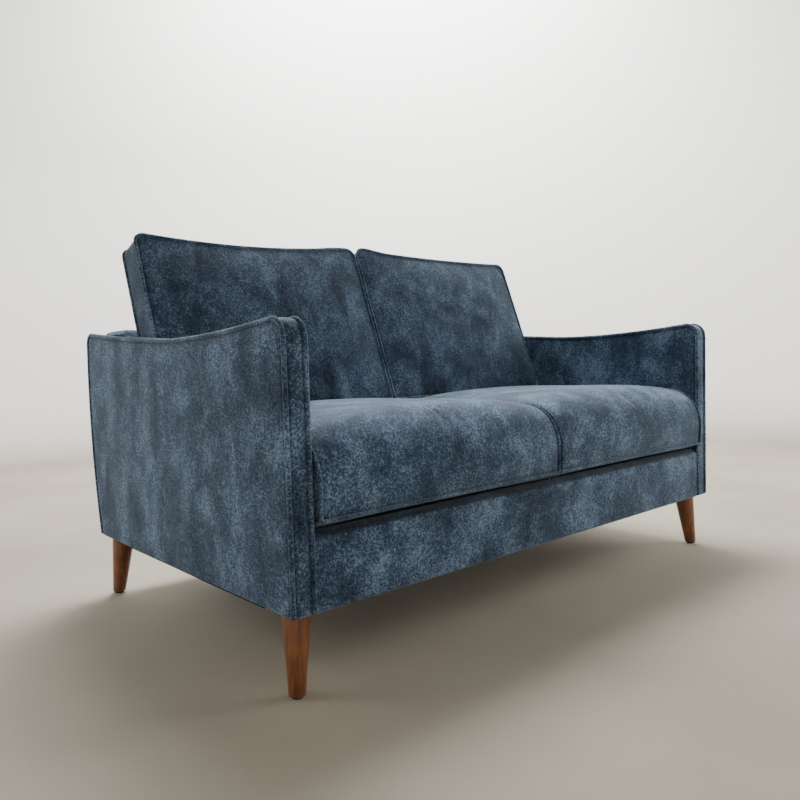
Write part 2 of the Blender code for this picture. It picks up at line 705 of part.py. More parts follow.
def across_zip(zip_place, outer, inner, height):
    """The section of a cut along a zip, between two depths from the cloth's face."""
    corners = ((outer, -height), (outer, height), (inner, height), (inner, -height))
    return [zip_place(*corner) for corner in corners]


for kind, outline, zip_place, filling in (
    ("seat", seat_outline, seat_zip, foam),
    ("back", back_outline, back_zip, fibre),
):
    for side, across in SIDES:
        low, high = sorted((across * CUSHION_INNER, across * CUSHION_OUTER))
        middle = (low + high) / 2
        zip_low = middle - ZIP_LENGTH / 2
        zip_high = middle + ZIP_LENGTH / 2
        cushion = bpy.data.objects.new(f"{kind}_cushion_{side}", None)
        cushion.location = (middle, *zip_place(0, 0))
        bpy.context.scene.collection.objects.link(cushion)

        cover_shape = cushion_shape(outline, low, high, 0)
        cover = add_part(f"{kind}_cushion_cover_{side}", cover_shape, chenille, smooth=True)
        cut(cover, "inside", cushion_shape(outline, low, high, COVER))
        slot = across_zip(zip_place, COVER, -2 * COVER, ZIP_SLOT / 2)
        cut(cover, "zip_slot", prism(slot, zip_low, zip_high))

        core_shape = cushion_shape(outline, low, high, COVER + GAP)
        core = add_part(f"{kind}_cushion_core_{side}", core_shape, filling, smooth=True)
        room = COVER + ZIP_SLIDER_PLATE + 3 * GAP
        groove = across_zip(zip_place, COVER, -room, ZIP_SLIDER_HEIGHT / 2 + ZIP_END_ROOM)
        cut(core, "zip_groove", prism(groove, zip_low - ZIP_END_ROOM, zip_high + ZIP_END_ROOM))

        closed = across * (ZIP_LENGTH / 2 - ZIP_END_ROOM) + middle
        slider_ends = sorted((closed, closed - across * ZIP_SLIDER_WIDTH))
        slider_shape = prism(slider_outline(zip_place), *slider_ends)
        slider = add_part(f"{kind}_zip_slider_{side}", slider_shape, zinc)
        bpy.context.view_layer.update()
        for part in (cover, core, slider):
            part.parent = cushion
            part.matrix_parent_inverse = cushion.matrix_world.inverted()
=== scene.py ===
import math

import bmesh
import bpy
import numpy as np
from mathutils import Matrix, Vector, noise
from mathutils.kdtree import KDTree


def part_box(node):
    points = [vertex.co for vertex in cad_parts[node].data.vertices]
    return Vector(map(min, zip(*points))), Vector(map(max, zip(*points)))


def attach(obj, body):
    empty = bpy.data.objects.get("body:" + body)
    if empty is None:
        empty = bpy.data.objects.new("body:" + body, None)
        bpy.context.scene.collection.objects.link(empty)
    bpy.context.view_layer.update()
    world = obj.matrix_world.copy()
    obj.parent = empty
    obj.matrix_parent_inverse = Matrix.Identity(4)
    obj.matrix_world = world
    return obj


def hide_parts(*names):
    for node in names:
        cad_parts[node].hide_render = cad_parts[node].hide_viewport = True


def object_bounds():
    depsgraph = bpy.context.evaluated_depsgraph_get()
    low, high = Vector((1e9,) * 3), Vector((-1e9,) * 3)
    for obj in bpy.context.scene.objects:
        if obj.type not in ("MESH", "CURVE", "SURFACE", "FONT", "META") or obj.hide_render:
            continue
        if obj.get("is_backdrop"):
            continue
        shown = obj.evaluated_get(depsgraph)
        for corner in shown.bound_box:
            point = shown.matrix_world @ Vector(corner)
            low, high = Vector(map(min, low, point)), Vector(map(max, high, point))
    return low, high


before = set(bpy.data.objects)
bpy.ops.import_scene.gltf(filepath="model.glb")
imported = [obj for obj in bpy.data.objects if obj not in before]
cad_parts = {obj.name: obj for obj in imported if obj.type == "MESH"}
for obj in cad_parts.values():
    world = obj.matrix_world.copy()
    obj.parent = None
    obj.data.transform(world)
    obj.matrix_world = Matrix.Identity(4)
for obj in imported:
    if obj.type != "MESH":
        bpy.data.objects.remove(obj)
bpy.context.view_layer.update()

# ---------------------------------------------------------------------------
# Eye: a wide lens held at chair height beyond the front left corner of the
# sofa. It looks across the seat, a little down, and it is tipped slightly.
# ---------------------------------------------------------------------------
EYE_PLACE = (-1.4085, -1.4986, 0.5969)
EYE_HEADING = 0.7252
EYE_DOWN = 0.0590
EYE_TIP = 0.0285
EYE_LENS = 32.73

forward = Vector(
    (
        math.sin(EYE_HEADING) * math.cos(EYE_DOWN),
        math.cos(EYE_HEADING) * math.cos(EYE_DOWN),
        -math.sin(EYE_DOWN),
    )
)
level = Vector((math.cos(EYE_HEADING), -math.sin(EYE_HEADING), 0))
below = forward.cross(level)
eye_right = math.cos(EYE_TIP) * level + math.sin(EYE_TIP) * below
eye_up = math.sin(EYE_TIP) * level - math.cos(EYE_TIP) * below
eye = bpy.data.objects.new("eye", bpy.data.cameras.new("eye"))
eye.data.sensor_width = 36
eye.data.lens = EYE_LENS
turn = Matrix((eye_right, eye_up, -forward)).transposed().to_4x4()
eye.matrix_world = Matrix.Translation(EYE_PLACE) @ turn
bpy.context.scene.collection.objects.link(eye)
bpy.context.scene.camera = eye

# ---------------------------------------------------------------------------
# Studio: a pale, matt floor that curves up into a round white wall, open to a
# dim sky. A soft light hangs overhead behind the sofa, weaker ones stand at the
# right front and the left rear, and one brightens the wall.
# ---------------------------------------------------------------------------
STUDIO_RADIUS = 3.4
STUDIO_HEIGHT = 3.2
COVE = 0.35


def srgb(code):
    """The linear colour of an sRGB hex value."""
    parts = [int(code[place : place + 2], 16) / 255 for place in (1, 3, 5)]
    curve = [c / 12.92 if c <= 0.04045 else ((c + 0.055) / 1.055) ** 2.4 for c in parts]
    return (*curve, 1)


def add_node(material, kind, inputs=None, stops=(), **settings):
    """Add a shader node with its settings. Its inputs take values or other nodes' outputs."""
    node = material.node_tree.nodes.new(f"ShaderNode{kind}")
    for name, value in settings.items():
        setattr(node, name, value)
    for name, value in (inputs or {}).items():
        if isinstance(value, bpy.types.NodeSocket):
            material.node_tree.links.new(value, node.inputs[name])
        else:
            node.inputs[name].default_value = value
    for place, (at, colour) in enumerate(stops):
        ramp = node.color_ramp.elements
        stop = ramp[place] if place < 2 else ramp.new(at)
        stop.position = at
        stop.color = colour
    return node


def new_material(name, settings):
    """A material, its surface shader with these settings, and the object coordinates."""
    material = bpy.data.materials.new(name)
    material.use_nodes = True
    surface = material.node_tree.nodes["Principled BSDF"]
    for socket, value in settings.items():
        surface.inputs[socket].default_value = value
    return material, surface, add_node(material, "TexCoord").outputs["Object"]


def link(material, output, surface, name):
    """Lead a node's output to an input of the surface shader."""
    material.node_tree.links.new(output, surface.inputs[name])


# Painted plaster on screed: pale and matt, with faint clouding. The wall is
# nearly white, and the floor is a warm light grey.
plaster, surface, place = new_material("pale_studio_plaster", {"Roughness": 0.75})
height = add_node(plaster, "SeparateXYZ", {"Vector": place}).outputs["Z"]
clouds = add_node(plaster, "TexNoise", {"Vector": place, "Scale": 1.4, "Detail": 6.0})
ground = add_node(
    plaster,
    "ValToRGB",
    {"Fac": clouds.outputs["Fac"]},
    stops=((0.35, srgb("#968e80")), (0.65, srgb("#a39b8d"))),
)
rise = add_node(plaster, "MapRange", {"Value": height, "From Min": 0.02, "From Max": COVE})
tone = add_node(
    plaster,
    "Mix",
    {"Factor": rise.outputs["Result"], "A": ground.outputs["Color"], "B": srgb("#efeeea")},
    data_type="RGBA",
)
link(plaster, tone.outputs["Result"], surface, "Base Color")

bm = bmesh.new()
line = [(0, 0), (STUDIO_RADIUS - COVE, 0)]
for step in range(1, 9):
    angle = math.pi / 2 * step / 8
    line.append(
        (STUDIO_RADIUS - COVE + COVE * math.sin(angle), COVE - COVE * math.cos(angle))
    )
line.append((STUDIO_RADIUS, STUDIO_HEIGHT))
verts = [bm.verts.new((radius, 0, z)) for radius, z in line]
edges = [bm.edges.new(pair) for pair in zip(verts, verts[1:])]
bmesh.ops.spin(
    bm,
    geom=verts + edges,
    axis=(0, 0, 1),
    cent=(0, 0, 0),
    angle=math.tau,
    steps=96,
    use_merge=True,
)
bmesh.ops.remove_doubles(bm, verts=bm.verts, dist=0.0001)
mesh = bpy.data.meshes.new("studio")
bm.to_mesh(mesh)
bm.free()
mesh.materials.append(plaster)
mesh.shade_smooth()
studio = bpy.data.objects.new("studio", mesh)
bpy.context.scene.collection.objects.link(studio)
studio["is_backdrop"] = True

sky = bpy.data.worlds.new("pale_sky")
sky.use_nodes = True
sky.node_tree.nodes["Background"].inputs["Color"].default_value = srgb("#f2f4f6")
sky.node_tree.nodes["Background"].inputs["Strength"].default_value = 0.05
bpy.context.scene.world = sky

for name, place, aim, size, power in (
    ("overhead_light", (0.4, 1.35, 3.0), (0.2, 0, 0.4), 1.4, 125),
    ("right_front_light", (2.4, -1.6, 1.5), (0.6, 0, 0.4), 1.3, 32),
    ("left_rear_light", (-2.4, 1.3, 1.5), (-0.7, 0.1, 0.4), 1.3, 15),
    ("wall_light", (1.4, 1.6, 3.6), (2.7, 2.9, 0.9), 2.6, 300),
):
    lamp = bpy.data.objects.new(name, bpy.data.lights.new(name, "AREA"))
    lamp.data.shape = "DISK"
    lamp.data.size = size
    lamp.data.energy = power
    way = (Vector(aim) - Vector(place)).to_track_quat("-Z", "Y")
    lamp.matrix_world = Matrix.Translation(place) @ way.to_matrix().to_4x4()
    bpy.context.scene.collection.objects.link(lamp)

# ---------------------------------------------------------------------------
# Arms: thin upright panels. Each is a timber frame wrapped in foam, with an
# outer and an inner panel of chenille sewn to a border strip. Both seams are
# piped up the front and over the top, and the outer one down the rear as well.
# ---------------------------------------------------------------------------
ARM_LOW, ARM_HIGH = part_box("arm_cover_right")
ARM_FRONT = ARM_LOW.y
ARM_REAR = ARM_HIGH.y
ARM_INNER = ARM_LOW.x
ARM_OUTER = ARM_HIGH.x
UNDERSIDE = ARM_LOW.z
ARM_DIP = 0.649
ARM_DIP_Y = -0.028
ARM_FRONT_RISE = 0.024
ARM_REAR_RISE = 0.031
ARM_FRONT_PEAK_Y = ARM_FRONT + 0.035
ARM_REAR_PEAK_Y = ARM_REAR - 0.034
ARM_FRONT_CORNER = 0.035
ARM_REAR_CORNER = 0.022
ARM_REAR_TOP = 0.66
REAR_BOW = 0.041
REAR_BOW_HEIGHT = 0.520
SEAM_INSET = 0.0048
ARM_PIPING = 0.0046
PANEL_SWELL = 0.0034
# Painted shade over the whole inner arm panel, which the cushions shade.
INNER_PANEL_SHADE = 0.3
PIPING_FOOT = 0.004


def rear_line(z):
    """How far back the bowed rear edge is at a height."""
    return ARM_REAR - REAR_BOW * ((z - REAR_BOW_HEIGHT) / (REAR_BOW_HEIGHT - UNDERSIDE)) ** 2


def arm_top_line(y):
    """The height of an arm's top edge, without its rounded corners."""
    if y < ARM_DIP_Y:
        share = min(1, (ARM_DIP_Y - y) / (ARM_DIP_Y - ARM_FRONT_PEAK_Y))
        return ARM_DIP + ARM_FRONT_RISE * share**2
    share = min(1, (y - ARM_DIP_Y) / (ARM_REAR_PEAK_Y - ARM_DIP_Y))
    return ARM_DIP + ARM_REAR_RISE * share**1.4


def corner_drop(distance, radius):
    """How far a rounded corner falls at a distance from its end."""
    if distance >= radius:
        return 0
    return radius - math.sqrt(radius**2 - (radius - max(distance, 0)) ** 2)


def arm_height(y, inset):
    """The top of an arm's side view at a place along it, inside its outline by the inset."""
    front = y - (ARM_FRONT + inset)
    rear = rear_line(ARM_REAR_TOP) - inset - y
    top = arm_top_line(y) - inset
    return top - corner_drop(front, ARM_FRONT_CORNER) - corner_drop(rear, ARM_REAR_CORNER)


def gathered(share, amount):
    """Draw evenly spaced shares towards both ends."""
    return share - amount * math.sin(math.tau * share) / math.tau


def arm_point(along, up, inset):
    """A place in an arm's side view, by its share along from the front and up from the bottom."""
    top_y = ARM_FRONT + inset + along * (rear_line(ARM_REAR_TOP) - inset - ARM_FRONT - inset)
    z = UNDERSIDE + 0.0008 + up * (arm_height(top_y, inset) - UNDERSIDE - 0.0008)
    y = ARM_FRONT + inset + along * (rear_line(z) - inset - ARM_FRONT - inset)
    return y, z


def lay_cloth(mesh):
    """Map a cloth piece in metres, so that its weave follows the way the cloth was cut."""
    corners = np.empty(len(mesh.loops), np.int32)
    mesh.loops.foreach_get("vertex_index", corners)
    places = np.empty(len(mesh.vertices) * 3, np.float32)
    mesh.vertices.foreach_get("co", places)
    places = places.reshape(-1, 3)[corners]
    facing = np.empty(len(mesh.polygons) * 3, np.float32)
    mesh.polygons.foreach_get("normal", facing)
    sizes = np.empty(len(mesh.polygons), np.int32)
    mesh.polygons.foreach_get("loop_total", sizes)
    facing = np.repeat(np.abs(facing.reshape(-1, 3)), sizes, axis=0)
    sideways = facing[:, 0] > 0.72
    level = facing[:, 2] > facing[:, 1]
    across = np.where(sideways, places[:, 1], places[:, 0])
    down = np.where(level & ~sideways, places[:, 1], places[:, 2])
    cloth = mesh.uv_layers.new(name="cloth")
    cloth.data.foreach_set("uv", np.stack([across, down], axis=1).ravel())


def read_points(mesh, what="co"):
    """The places of a mesh's points as rows of numbers, or their normals."""
    values = np.empty(len(mesh.vertices) * 3, np.float32)
    if what == "co":
        mesh.vertices.foreach_get("co", values)
    else:
        mesh.vertex_normals.foreach_get("vector", values)
    return values.reshape(-1, 3).astype(float)


def mark_painted_shade(mesh, distances, reach=0.006, panel_shade=0.0):
    """Note how near each point is to a seam, as painted shade: the pile is painted darker there,
    where shade falls in the seam. A panel in shade can be painted darker all over as well."""
    painted_shade = mesh.attributes.new("painted_shade", "FLOAT", "POINT")
    depth = panel_shade + (1 - panel_shade) * np.exp(-((np.array(distances) / reach) ** 2))
    painted_shade.data.foreach_set("value", depth.astype(np.float32))


def add_piece(name, mesh, material, body, replaces=()):
    """Put a finished mesh in the scene, on its body and in place of its CAD nodes."""
    mesh.materials.clear()
    mesh.materials.append(material)
    mesh.shade_smooth()
    piece = bpy.data.objects.new(name, mesh)
    bpy.context.scene.collection.objects.link(piece)
    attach(piece, body)
    if replaces:
        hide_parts(*replaces)
    return piece


def mesh_from(bm, name):
    """A mesh from a bmesh, which this uses up."""
    mesh = bpy.data.meshes.new(name)
    bm.to_mesh(mesh)
    bm.free()
    return mesh


def subdivided(piece, levels=1):
    """Round a piece off with a subdivision surface."""
    rounding = piece.modifiers.new("rounding", "SUBSURF")
    rounding.levels = rounding.render_levels = levels
    return piece


def tube_mesh(name, paths, radius, closed=False):
    """A round cord swept along each path of points."""
    curve = bpy.data.curves.new(name, "CURVE")
    curve.dimensions = "3D"
    curve.bevel_depth = radius
    curve.bevel_resolution = 3
    curve.use_fill_caps = not closed
    for path in paths:
        spline = curve.splines.new("POLY")
        spline.points.add(len(path) - 1)
        for point, at in zip(spline.points, path):
            point.co = (*at, 1)
        spline.use_cyclic_u = closed
    holder = bpy.data.objects.new(name, curve)
    mesh = bpy.data.meshes.new_from_object(holder)
    mesh.name = name
    bpy.data.objects.remove(holder)
    return mesh


# Chenille: a dense cut pile on a woven ground. Its tufts stand in rows and catch
# the light one by one, and its nap lies in soft patches that hands have brushed
# light and dark. Seen edge on, it glows like velvet. Painted shade darkens it
# towards near black by its seams, under the seat cushions and over whole panels
# in shade. The tufts are about 2 mm apart on the real cloth and are drawn at 2.7 mm.
TUFT = 0.0027
TUFT_RELIEF = 0.0009
NAP_RELIEF = 0.006
NAP_SIZE = 0.080
chenille, surface, place = new_material(
    "blue_chenille",
    {
        "Roughness": 0.9,
        "IOR": 1.5,
        "Specular IOR Level": 0.2,
        "Sheen Weight": 0.55,
        "Sheen Roughness": 0.4,
        "Sheen Tint": srgb("#aebfce"),
    },
)
weave = add_node(chenille, "UVMap", uv_map="cloth").outputs["UV"]
hung = add_node(chenille, "Mapping", {"Vector": place, "Scale": (1.0, 1.0, 0.72)})
patches = add_node(
    chenille,
    "TexNoise",
    {
        "Vector": hung.outputs["Vector"],
        "Scale": 1 / NAP_SIZE,
        "Detail": 6.0,
        "Roughness": 0.6,
        "Distortion": 0.35,
    },
)
brushed = add_node(
    chenille,
    "TexNoise",
    {
        "Vector": hung.outputs["Vector"],
        "Scale": 16 / NAP_SIZE,
        "Detail": 4.0,
        "Roughness": 0.8,
        "Distortion": 0.2,
    },
)
drawn = add_node(chenille, "Mapping", {"Vector": weave, "Scale": (0.85, 1.0, 1.0)})
tufts = add_node(
    chenille,
    "TexVoronoi",
    {"Vector": drawn.outputs["Vector"], "Scale": 1 / TUFT, "Randomness": 0.6},
    voronoi_dimensions="2D",
)
laid = add_node(
    chenille,
    "Mix",
    {"Factor": 0.26, "A": patches.outputs["Fac"], "B": brushed.outputs["Fac"]},
)
flecked = add_node(
    chenille,
    "Mix",
    {"Factor": 0.25, "A": laid.outputs["Result"], "B": tufts.outputs["Color"]},
)
nap = add_node(
    chenille,
    "ValToRGB",
    {"Fac": flecked.outputs["Result"]},
    stops=(
        (0.34, srgb("#141e2b")),
        (0.67, srgb("#7489a1")),
        (0.50, srgb("#35475d")),
    ),
)
# Painted shade: the stored shade mixes the pile towards #0a0f15 near seams, under the seat
# cushions and over shaded panels.
painted_shade_attribute = add_node(chenille, "Attribute", attribute_name="painted_shade")
shaded = add_node(chenille, "Math", {0: painted_shade_attribute.outputs["Fac"], 1: 0.8}, operation="MULTIPLY")
pile = add_node(
    chenille,
    "Mix",
    {"Factor": shaded.outputs["Value"], "A": nap.outputs["Color"], "B": srgb("#0a0f15")},
    data_type="RGBA",
)
raised = add_node(
    chenille,
    "Bump",
    {"Height": tufts.outputs["Distance"], "Strength": 0.7, "Distance": TUFT_RELIEF},
    invert=True,
)
ruffled = add_node(
    chenille,
    "Bump",
    {
        "Height": laid.outputs["Result"],
        "Strength": 0.45,
        "Distance": NAP_RELIEF,
        "Normal": raised.outputs["Normal"],
    },
)
link(chenille, pile.outputs["Result"], surface, "Base Color")
link(chenille, ruffled.outputs["Normal"], surface, "Normal")


def swell(distance):
    """How far a padded panel stands out at a distance from its seam."""
    return PANEL_SWELL * (1 - math.exp(-max(distance, 0) / 0.009))


for side, across in (("left", -1), ("right", 1)):
    bm = bmesh.new()
    bmesh.ops.create_grid(bm, x_segments=120, y_segments=64, size=0.5)
    seam_x = across * (ARM_OUTER - SEAM_INSET)
    for vert in bm.verts:
        along = gathered(vert.co.x + 0.5, 0.86)
        up = gathered(vert.co.y + 0.5, 0.7)
        vert.co = (seam_x, *arm_point(along, up, SEAM_INSET))
    extruded = bmesh.ops.extrude_face_region(bm, geom=bm.faces[:])
    inner_verts = {item for item in extruded["geom"] if isinstance(item, bmesh.types.BMVert)}
    width = ARM_OUTER - ARM_INNER - 2 * SEAM_INSET
    bmesh.ops.translate(bm, vec=(-across * width, 0, 0), verts=list(inner_verts))
    crossing = [e for e in bm.edges if len({vert in inner_verts for vert in e.verts}) == 2]
    bmesh.ops.subdivide_edges(bm, edges=crossing, cuts=7, use_grid_fill=True)
    bmesh.ops.recalc_face_normals(bm, faces=bm.faces)
    bm.normal_update()
    moves = {}
    from_seam = []
    for vert in bm.verts:
        x, y, z = vert.co
        if abs(abs(vert.normal.x) - 1) < 0.02:
            top = arm_height(y, SEAM_INSET)
            near = min(y - ARM_FRONT, rear_line(z) - y, top + SEAM_INSET - z) - SEAM_INSET
            seed = Vector((across * 3 + vert.normal.x, y * 7, z * 4))
            wave = noise.noise(seed) * 0.0016 + noise.noise(seed * 2.7) * 0.0006
            moves[vert] = swell(near) + wave * min(1, near / 0.04)
        else:
            near = width / 2 - abs(x - across * (ARM_OUTER + ARM_INNER) / 2)
            wave = noise.noise(Vector((across * 5, y * 22, z * 22))) * 0.0009
            swollen = swell(near) * 0.85 + wave * min(1, near / 0.01)
            moves[vert] = swollen * (z > UNDERSIDE + PIPING_FOOT)
        from_seam.append(near)
    for vert, distance in moves.items():
        vert.co += vert.normal * distance
    mesh = mesh_from(bm, f"arm_upholstery_{side}")
    lay_cloth(mesh)
    # Painted shade: the pile is painted darker near the pipings, and the inner panel is painted
    # darker all over.
    inner_panel = across * read_points(mesh)[:, 0] < ARM_INNER + SEAM_INSET - 0.0005
    from_piping = np.maximum(np.array(from_seam) - 0.002, 0)
    mark_painted_shade(mesh, from_piping, panel_shade=INNER_PANEL_SHADE * inner_panel)
    hidden = (f"arm_cover_{side}", f"arm_padding_{side}")
    arm = add_piece(f"arm_upholstery_{side}", mesh, chenille, "frame", hidden)
    subdivided(arm)

    steps = [gathered(step / 150, 0.86) for step in range(151)]
    over_top = [arm_point(along, 1, SEAM_INSET - 0.001) for along in steps]
    front_y, front_z = over_top[0]
    rise = (front_z - UNDERSIDE) / 40
    up_front = [(front_y, UNDERSIDE + PIPING_FOOT + rise * step) for step in range(39)]
    inner_route = up_front + over_top
    rear_z = over_top[-1][1]
    down_rear = [
        (rear_line(z) - SEAM_INSET + 0.001, z)
        for z in np.linspace(rear_z - PIPING_FOOT, UNDERSIDE + PIPING_FOOT, 60).tolist()
    ]
    paths = [
        [(across * seam_place, y, z) for y, z in route]
        for seam_place, route in (
            (ARM_OUTER - ARM_PIPING, inner_route + down_rear),
            (ARM_INNER + ARM_PIPING, inner_route),
        )
    ]
    mesh = tube_mesh(f"arm_piping_{side}", paths, ARM_PIPING)
    lay_cloth(mesh)
    add_piece(f"arm_piping_{side}", mesh, chenille, "frame")

# ---------------------------------------------------------------------------
# Front rail: the same chenille, pulled over the timber from a soft edge roll
# at the top and tacked underneath.
# ---------------------------------------------------------------------------
RAIL_LOW, RAIL_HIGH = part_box("front_rail_cover")
ROLL_DEPTH = 0.025
ROLL_HEIGHT = 0.019
RAIL_SPAN = ARM_INNER + 0.0012
# Height of the rail's top band that is painted in shade under the cushions.
RAIL_COVERED = 0.007

rail_line = [(RAIL_LOW.y + 0.016, UNDERSIDE), (RAIL_LOW.y + 0.004, UNDERSIDE)]
rail_line += [(RAIL_LOW.y, UNDERSIDE + 0.004)]
roll_z = RAIL_HIGH.z - ROLL_HEIGHT
rise = roll_z - UNDERSIDE - 0.004
rail_line += [(RAIL_LOW.y, UNDERSIDE + 0.004 + rise * step / 9) for step in range(1, 9)]
for step in range(9):
    angle = math.pi / 2 * step / 8
    roll_y = RAIL_LOW.y + ROLL_DEPTH * (1 - math.cos(angle))
    rail_line.append((roll_y, roll_z + ROLL_HEIGHT * math.sin(angle)))
rail_line.append((RAIL_HIGH.y, RAIL_HIGH.z - 0.001))

bm = bmesh.new()
bmesh.ops.create_grid(bm, x_segments=140, y_segments=len(rail_line) - 1, size=0.5)
for vert in bm.verts:
    y, z = rail_line[round((vert.co.y + 0.5) * (len(rail_line) - 1))]
    x = 2 * vert.co.x * RAIL_SPAN
    seed = Vector((x * 5, z * 9, 4))
    flat = min(1, max(0, (z - UNDERSIDE) / 0.05)) * min(1, (RAIL_SPAN - abs(x)) / 0.03)
    vert.co = (x, y - (noise.noise(seed) * 0.0012 + 0.0008) * flat, z)
bmesh.ops.solidify(bm, geom=bm.faces[:], thickness=0.002)
bmesh.ops.recalc_face_normals(bm, faces=bm.faces)
mesh = mesh_from(bm, "front_rail_upholstery")
lay_cloth(mesh)
# Painted shade: the top of the rail, in the gap under the seat cushions' overhang, is painted
# darker.
shaded_under_cushions = np.maximum(RAIL_HIGH.z - RAIL_COVERED - read_points(mesh)[:, 2], 0)
mark_painted_shade(mesh, shaded_under_cushions, 0.004)
rail = add_piece(
    "front_rail_upholstery", mesh, chenille, "frame", ("front_rail_cover",)
)
subdivided(rail)

# ---------------------------------------------------------------------------
# Seat cushions: a foam block wrapped in wadding. The top panel of its loose
# cover rolls over the front edge to a piping just above the rail, and flat
# side panels, piped round their edges, close its ends.
# ---------------------------------------------------------------------------
VOXEL = 0.0065
SEAT_PIPING = 0.0036
SEAT_BOTTOM = 0.2962
SEAT_REAR = 0.1775
SEAT_ZIP_Y = 0.180
SEAT_ZIP_Z = 0.3604
SEAT_CROWN = 0.022
SEAT_NOSE = 0.003
SEAT_GIVE = 0.008
SEAM_FIRM = 0.007
SEAM_SOFT = 0.012
SEAM_SHADE = 0.008
SEAT_SIDE = (
    (-0.4400, SEAT_BOTTOM, 0.0),
    (-0.4470, 0.3060, 0.006),
    (-0.4730, 0.3150, 0.0),
    (-0.4800, 0.4750, 0.105),
    (0.1150, 0.4640, 0.060),
    (SEAT_REAR, 0.4400, 0.020),
    (SEAT_REAR, SEAT_BOTTOM, 0.006),
)


def rounded_panel(corners, lay):
    """A flat panel from corners that each have a rounding, laid in the frame by a function."""
    bm = bmesh.new()
    verts = [bm.verts.new((across, up, 0)) for across, up, _ in corners]
    bm.faces.new(verts)
    for vert, (_, _, rounding) in zip(verts, corners):
        if rounding:
            bmesh.ops.bevel(
                bm,
                geom=[vert],
                offset=rounding,
                segments=10,
                profile=0.5,
                affect="VERTICES",
                material=-1,
            )
    for vert in bm.verts:
        vert.co = lay(vert.co.x, vert.co.y)
    return bm


def boxed(bm, shift):
    """Give a flat panel its depth. Returns the outlines of both panels."""
    first = bm.faces[:]
    near = [corner.vert.co.copy() for corner in first[0].loops]
    extruded = bmesh.ops.extrude_face_region(bm, geom=first)
    moved = [item for item in extruded["geom"] if isinstance(item, bmesh.types.BMVert)]
    bmesh.ops.translate(bm, vec=shift, verts=moved)
    bmesh.ops.recalc_face_normals(bm, faces=bm.faces)
    return near, [point + shift for point in near]


def dense(path, step=0.004, closed=False):
    """The same path with evenly close points."""
    ends = path[1:] + path[:1] if closed else path[1:]
    points = []
    for start, end in zip(path, ends):
        count = max(1, round((end - start).length / step))
        points += [start.lerp(end, number / count) for number in range(count)]
    return points if closed else points + [path[-1]]


def seam_distances(points, seams):
    """How far each point is from the nearest seam."""
    tree = KDTree(sum(len(seam) for seam in seams))
    number = 0
    for seam in seams:
        for point in seam:
            tree.insert(point, number)
            number += 1
    tree.balance()
    return np.array([tree.find(point)[2] for point in points])


def baked_mesh(piece, name):
    """The mesh of a working object with its modifiers applied."""
    bpy.context.view_layer.update()
    graph = bpy.context.evaluated_depsgraph_get()
    mesh = bpy.data.meshes.new_from_object(piece.evaluated_get(graph))
    mesh.name = name
    return mesh


def stuffed(bm, name, seams, plump, give, room):
    """Fill a sewn shape: round it by a rule, blow it up as cloth held along its seams, and keep it
    in the room that it has. The last step divides it once more and smooths it."""
    holder = bpy.data.objects.new(name, mesh_from(bm, name))
    bpy.context.scene.collection.objects.link(holder)
    remesh = holder.modifiers.new("remesh", "REMESH")
    remesh.mode = "VOXEL"
    remesh.voxel_size = VOXEL
    mesh = baked_mesh(holder, name)
    holder.modifiers.clear()
    holder.data = mesh
    start = read_points(mesh)
    away = seam_distances(start, seams)
    start += read_points(mesh, "normal") * plump(start, read_points(mesh, "normal"))[:, None]
    mesh.vertices.foreach_set("co", start.astype(np.float32).ravel())
    mesh.update()
    held = holder.vertex_groups.new(name="seams")
    for index, distance in enumerate(away):
        if distance < SEAM_SOFT:
            held.add([index], 1 if distance < SEAM_FIRM else 0.5, "REPLACE")
    cloth = holder.modifiers.new("cloth", "CLOTH")
    cloth.settings.quality = 4
    cloth.settings.mass = 0.35
    cloth.settings.tension_stiffness = 12
    cloth.settings.compression_stiffness = 12
    cloth.settings.shear_stiffness = 6
    cloth.settings.bending_stiffness = 0.8
    cloth.settings.use_pressure = True
    cloth.settings.uniform_pressure_force = 4
    cloth.settings.vertex_group_mass = "seams"
    cloth.settings.effector_weights.gravity = 0
    cloth.point_cache.frame_start = 1
    cloth.point_cache.frame_end = 20
    for step in range(1, 21):
        bpy.context.scene.frame_set(step)
    blown = baked_mesh(holder, name)
    moved = read_points(blown) - start
    length = np.linalg.norm(moved, axis=1, keepdims=True)
    moved *= np.minimum(1, give / np.maximum(length, 1e-9))
    holder.modifiers.clear()
    start = start + moved
    bpy.context.scene.frame_set(1)
    start = room(start)
    mesh.vertices.foreach_set("co", start.astype(np.float32).ravel())
    subdivided(holder)
    mesh = baked_mesh(holder, name)
    bpy.data.objects.remove(holder)
    return mesh


def soft_limit(values, limit, ease=0.0015):
    """Keep values below a limit, with a gentle approach to it."""
    return limit - ease * np.logaddexp(0, (limit - values) / ease)


def fullness(share):
    """How full a cushion is at a share across it: none at its ends, and broad in the middle."""
    return (1 - np.abs(2 * np.clip(share, 0, 1) - 1) ** 2.6) ** 0.8


def seat_plump(points, normals, near_x, far_x):
    """How far a seat cushion's points stand out: most on its crown, and a little on its nose."""
    broad = fullness((points[:, 0] - near_x) / (far_x - near_x))
    top = np.clip(normals[:, 2], 0, 1) ** 2
    nose = np.clip(-normals[:, 1], 0, 1) ** 2 * np.clip((points[:, 2] - 0.31) / 0.03, 0, 1)
    back_off = np.clip((SEAT_REAR - points[:, 1]) / 0.12, 0, 1)
    return broad * (SEAT_CROWN * top * back_off + SEAT_NOSE * nose)


def seat_room(points, low, high):
    """Keep a seat cushion off its neighbours and above the deck, with a groove for its zip."""
    points[:, 0] = soft_limit(points[:, 0], high.x + 0.001)
    points[:, 0] = -soft_limit(-points[:, 0], -low.x + 0.001)
    groove = np.exp(-(((points[:, 2] - SEAT_ZIP_Z) / 0.011) ** 2))
    points[:, 1] = soft_limit(points[:, 1], SEAT_ZIP_Y - 0.0003 - 0.0016 * groove, 0.0006)
    points[:, 2] = -soft_limit(-points[:, 2], -SEAT_BOTTOM + 0.0005)
    return points


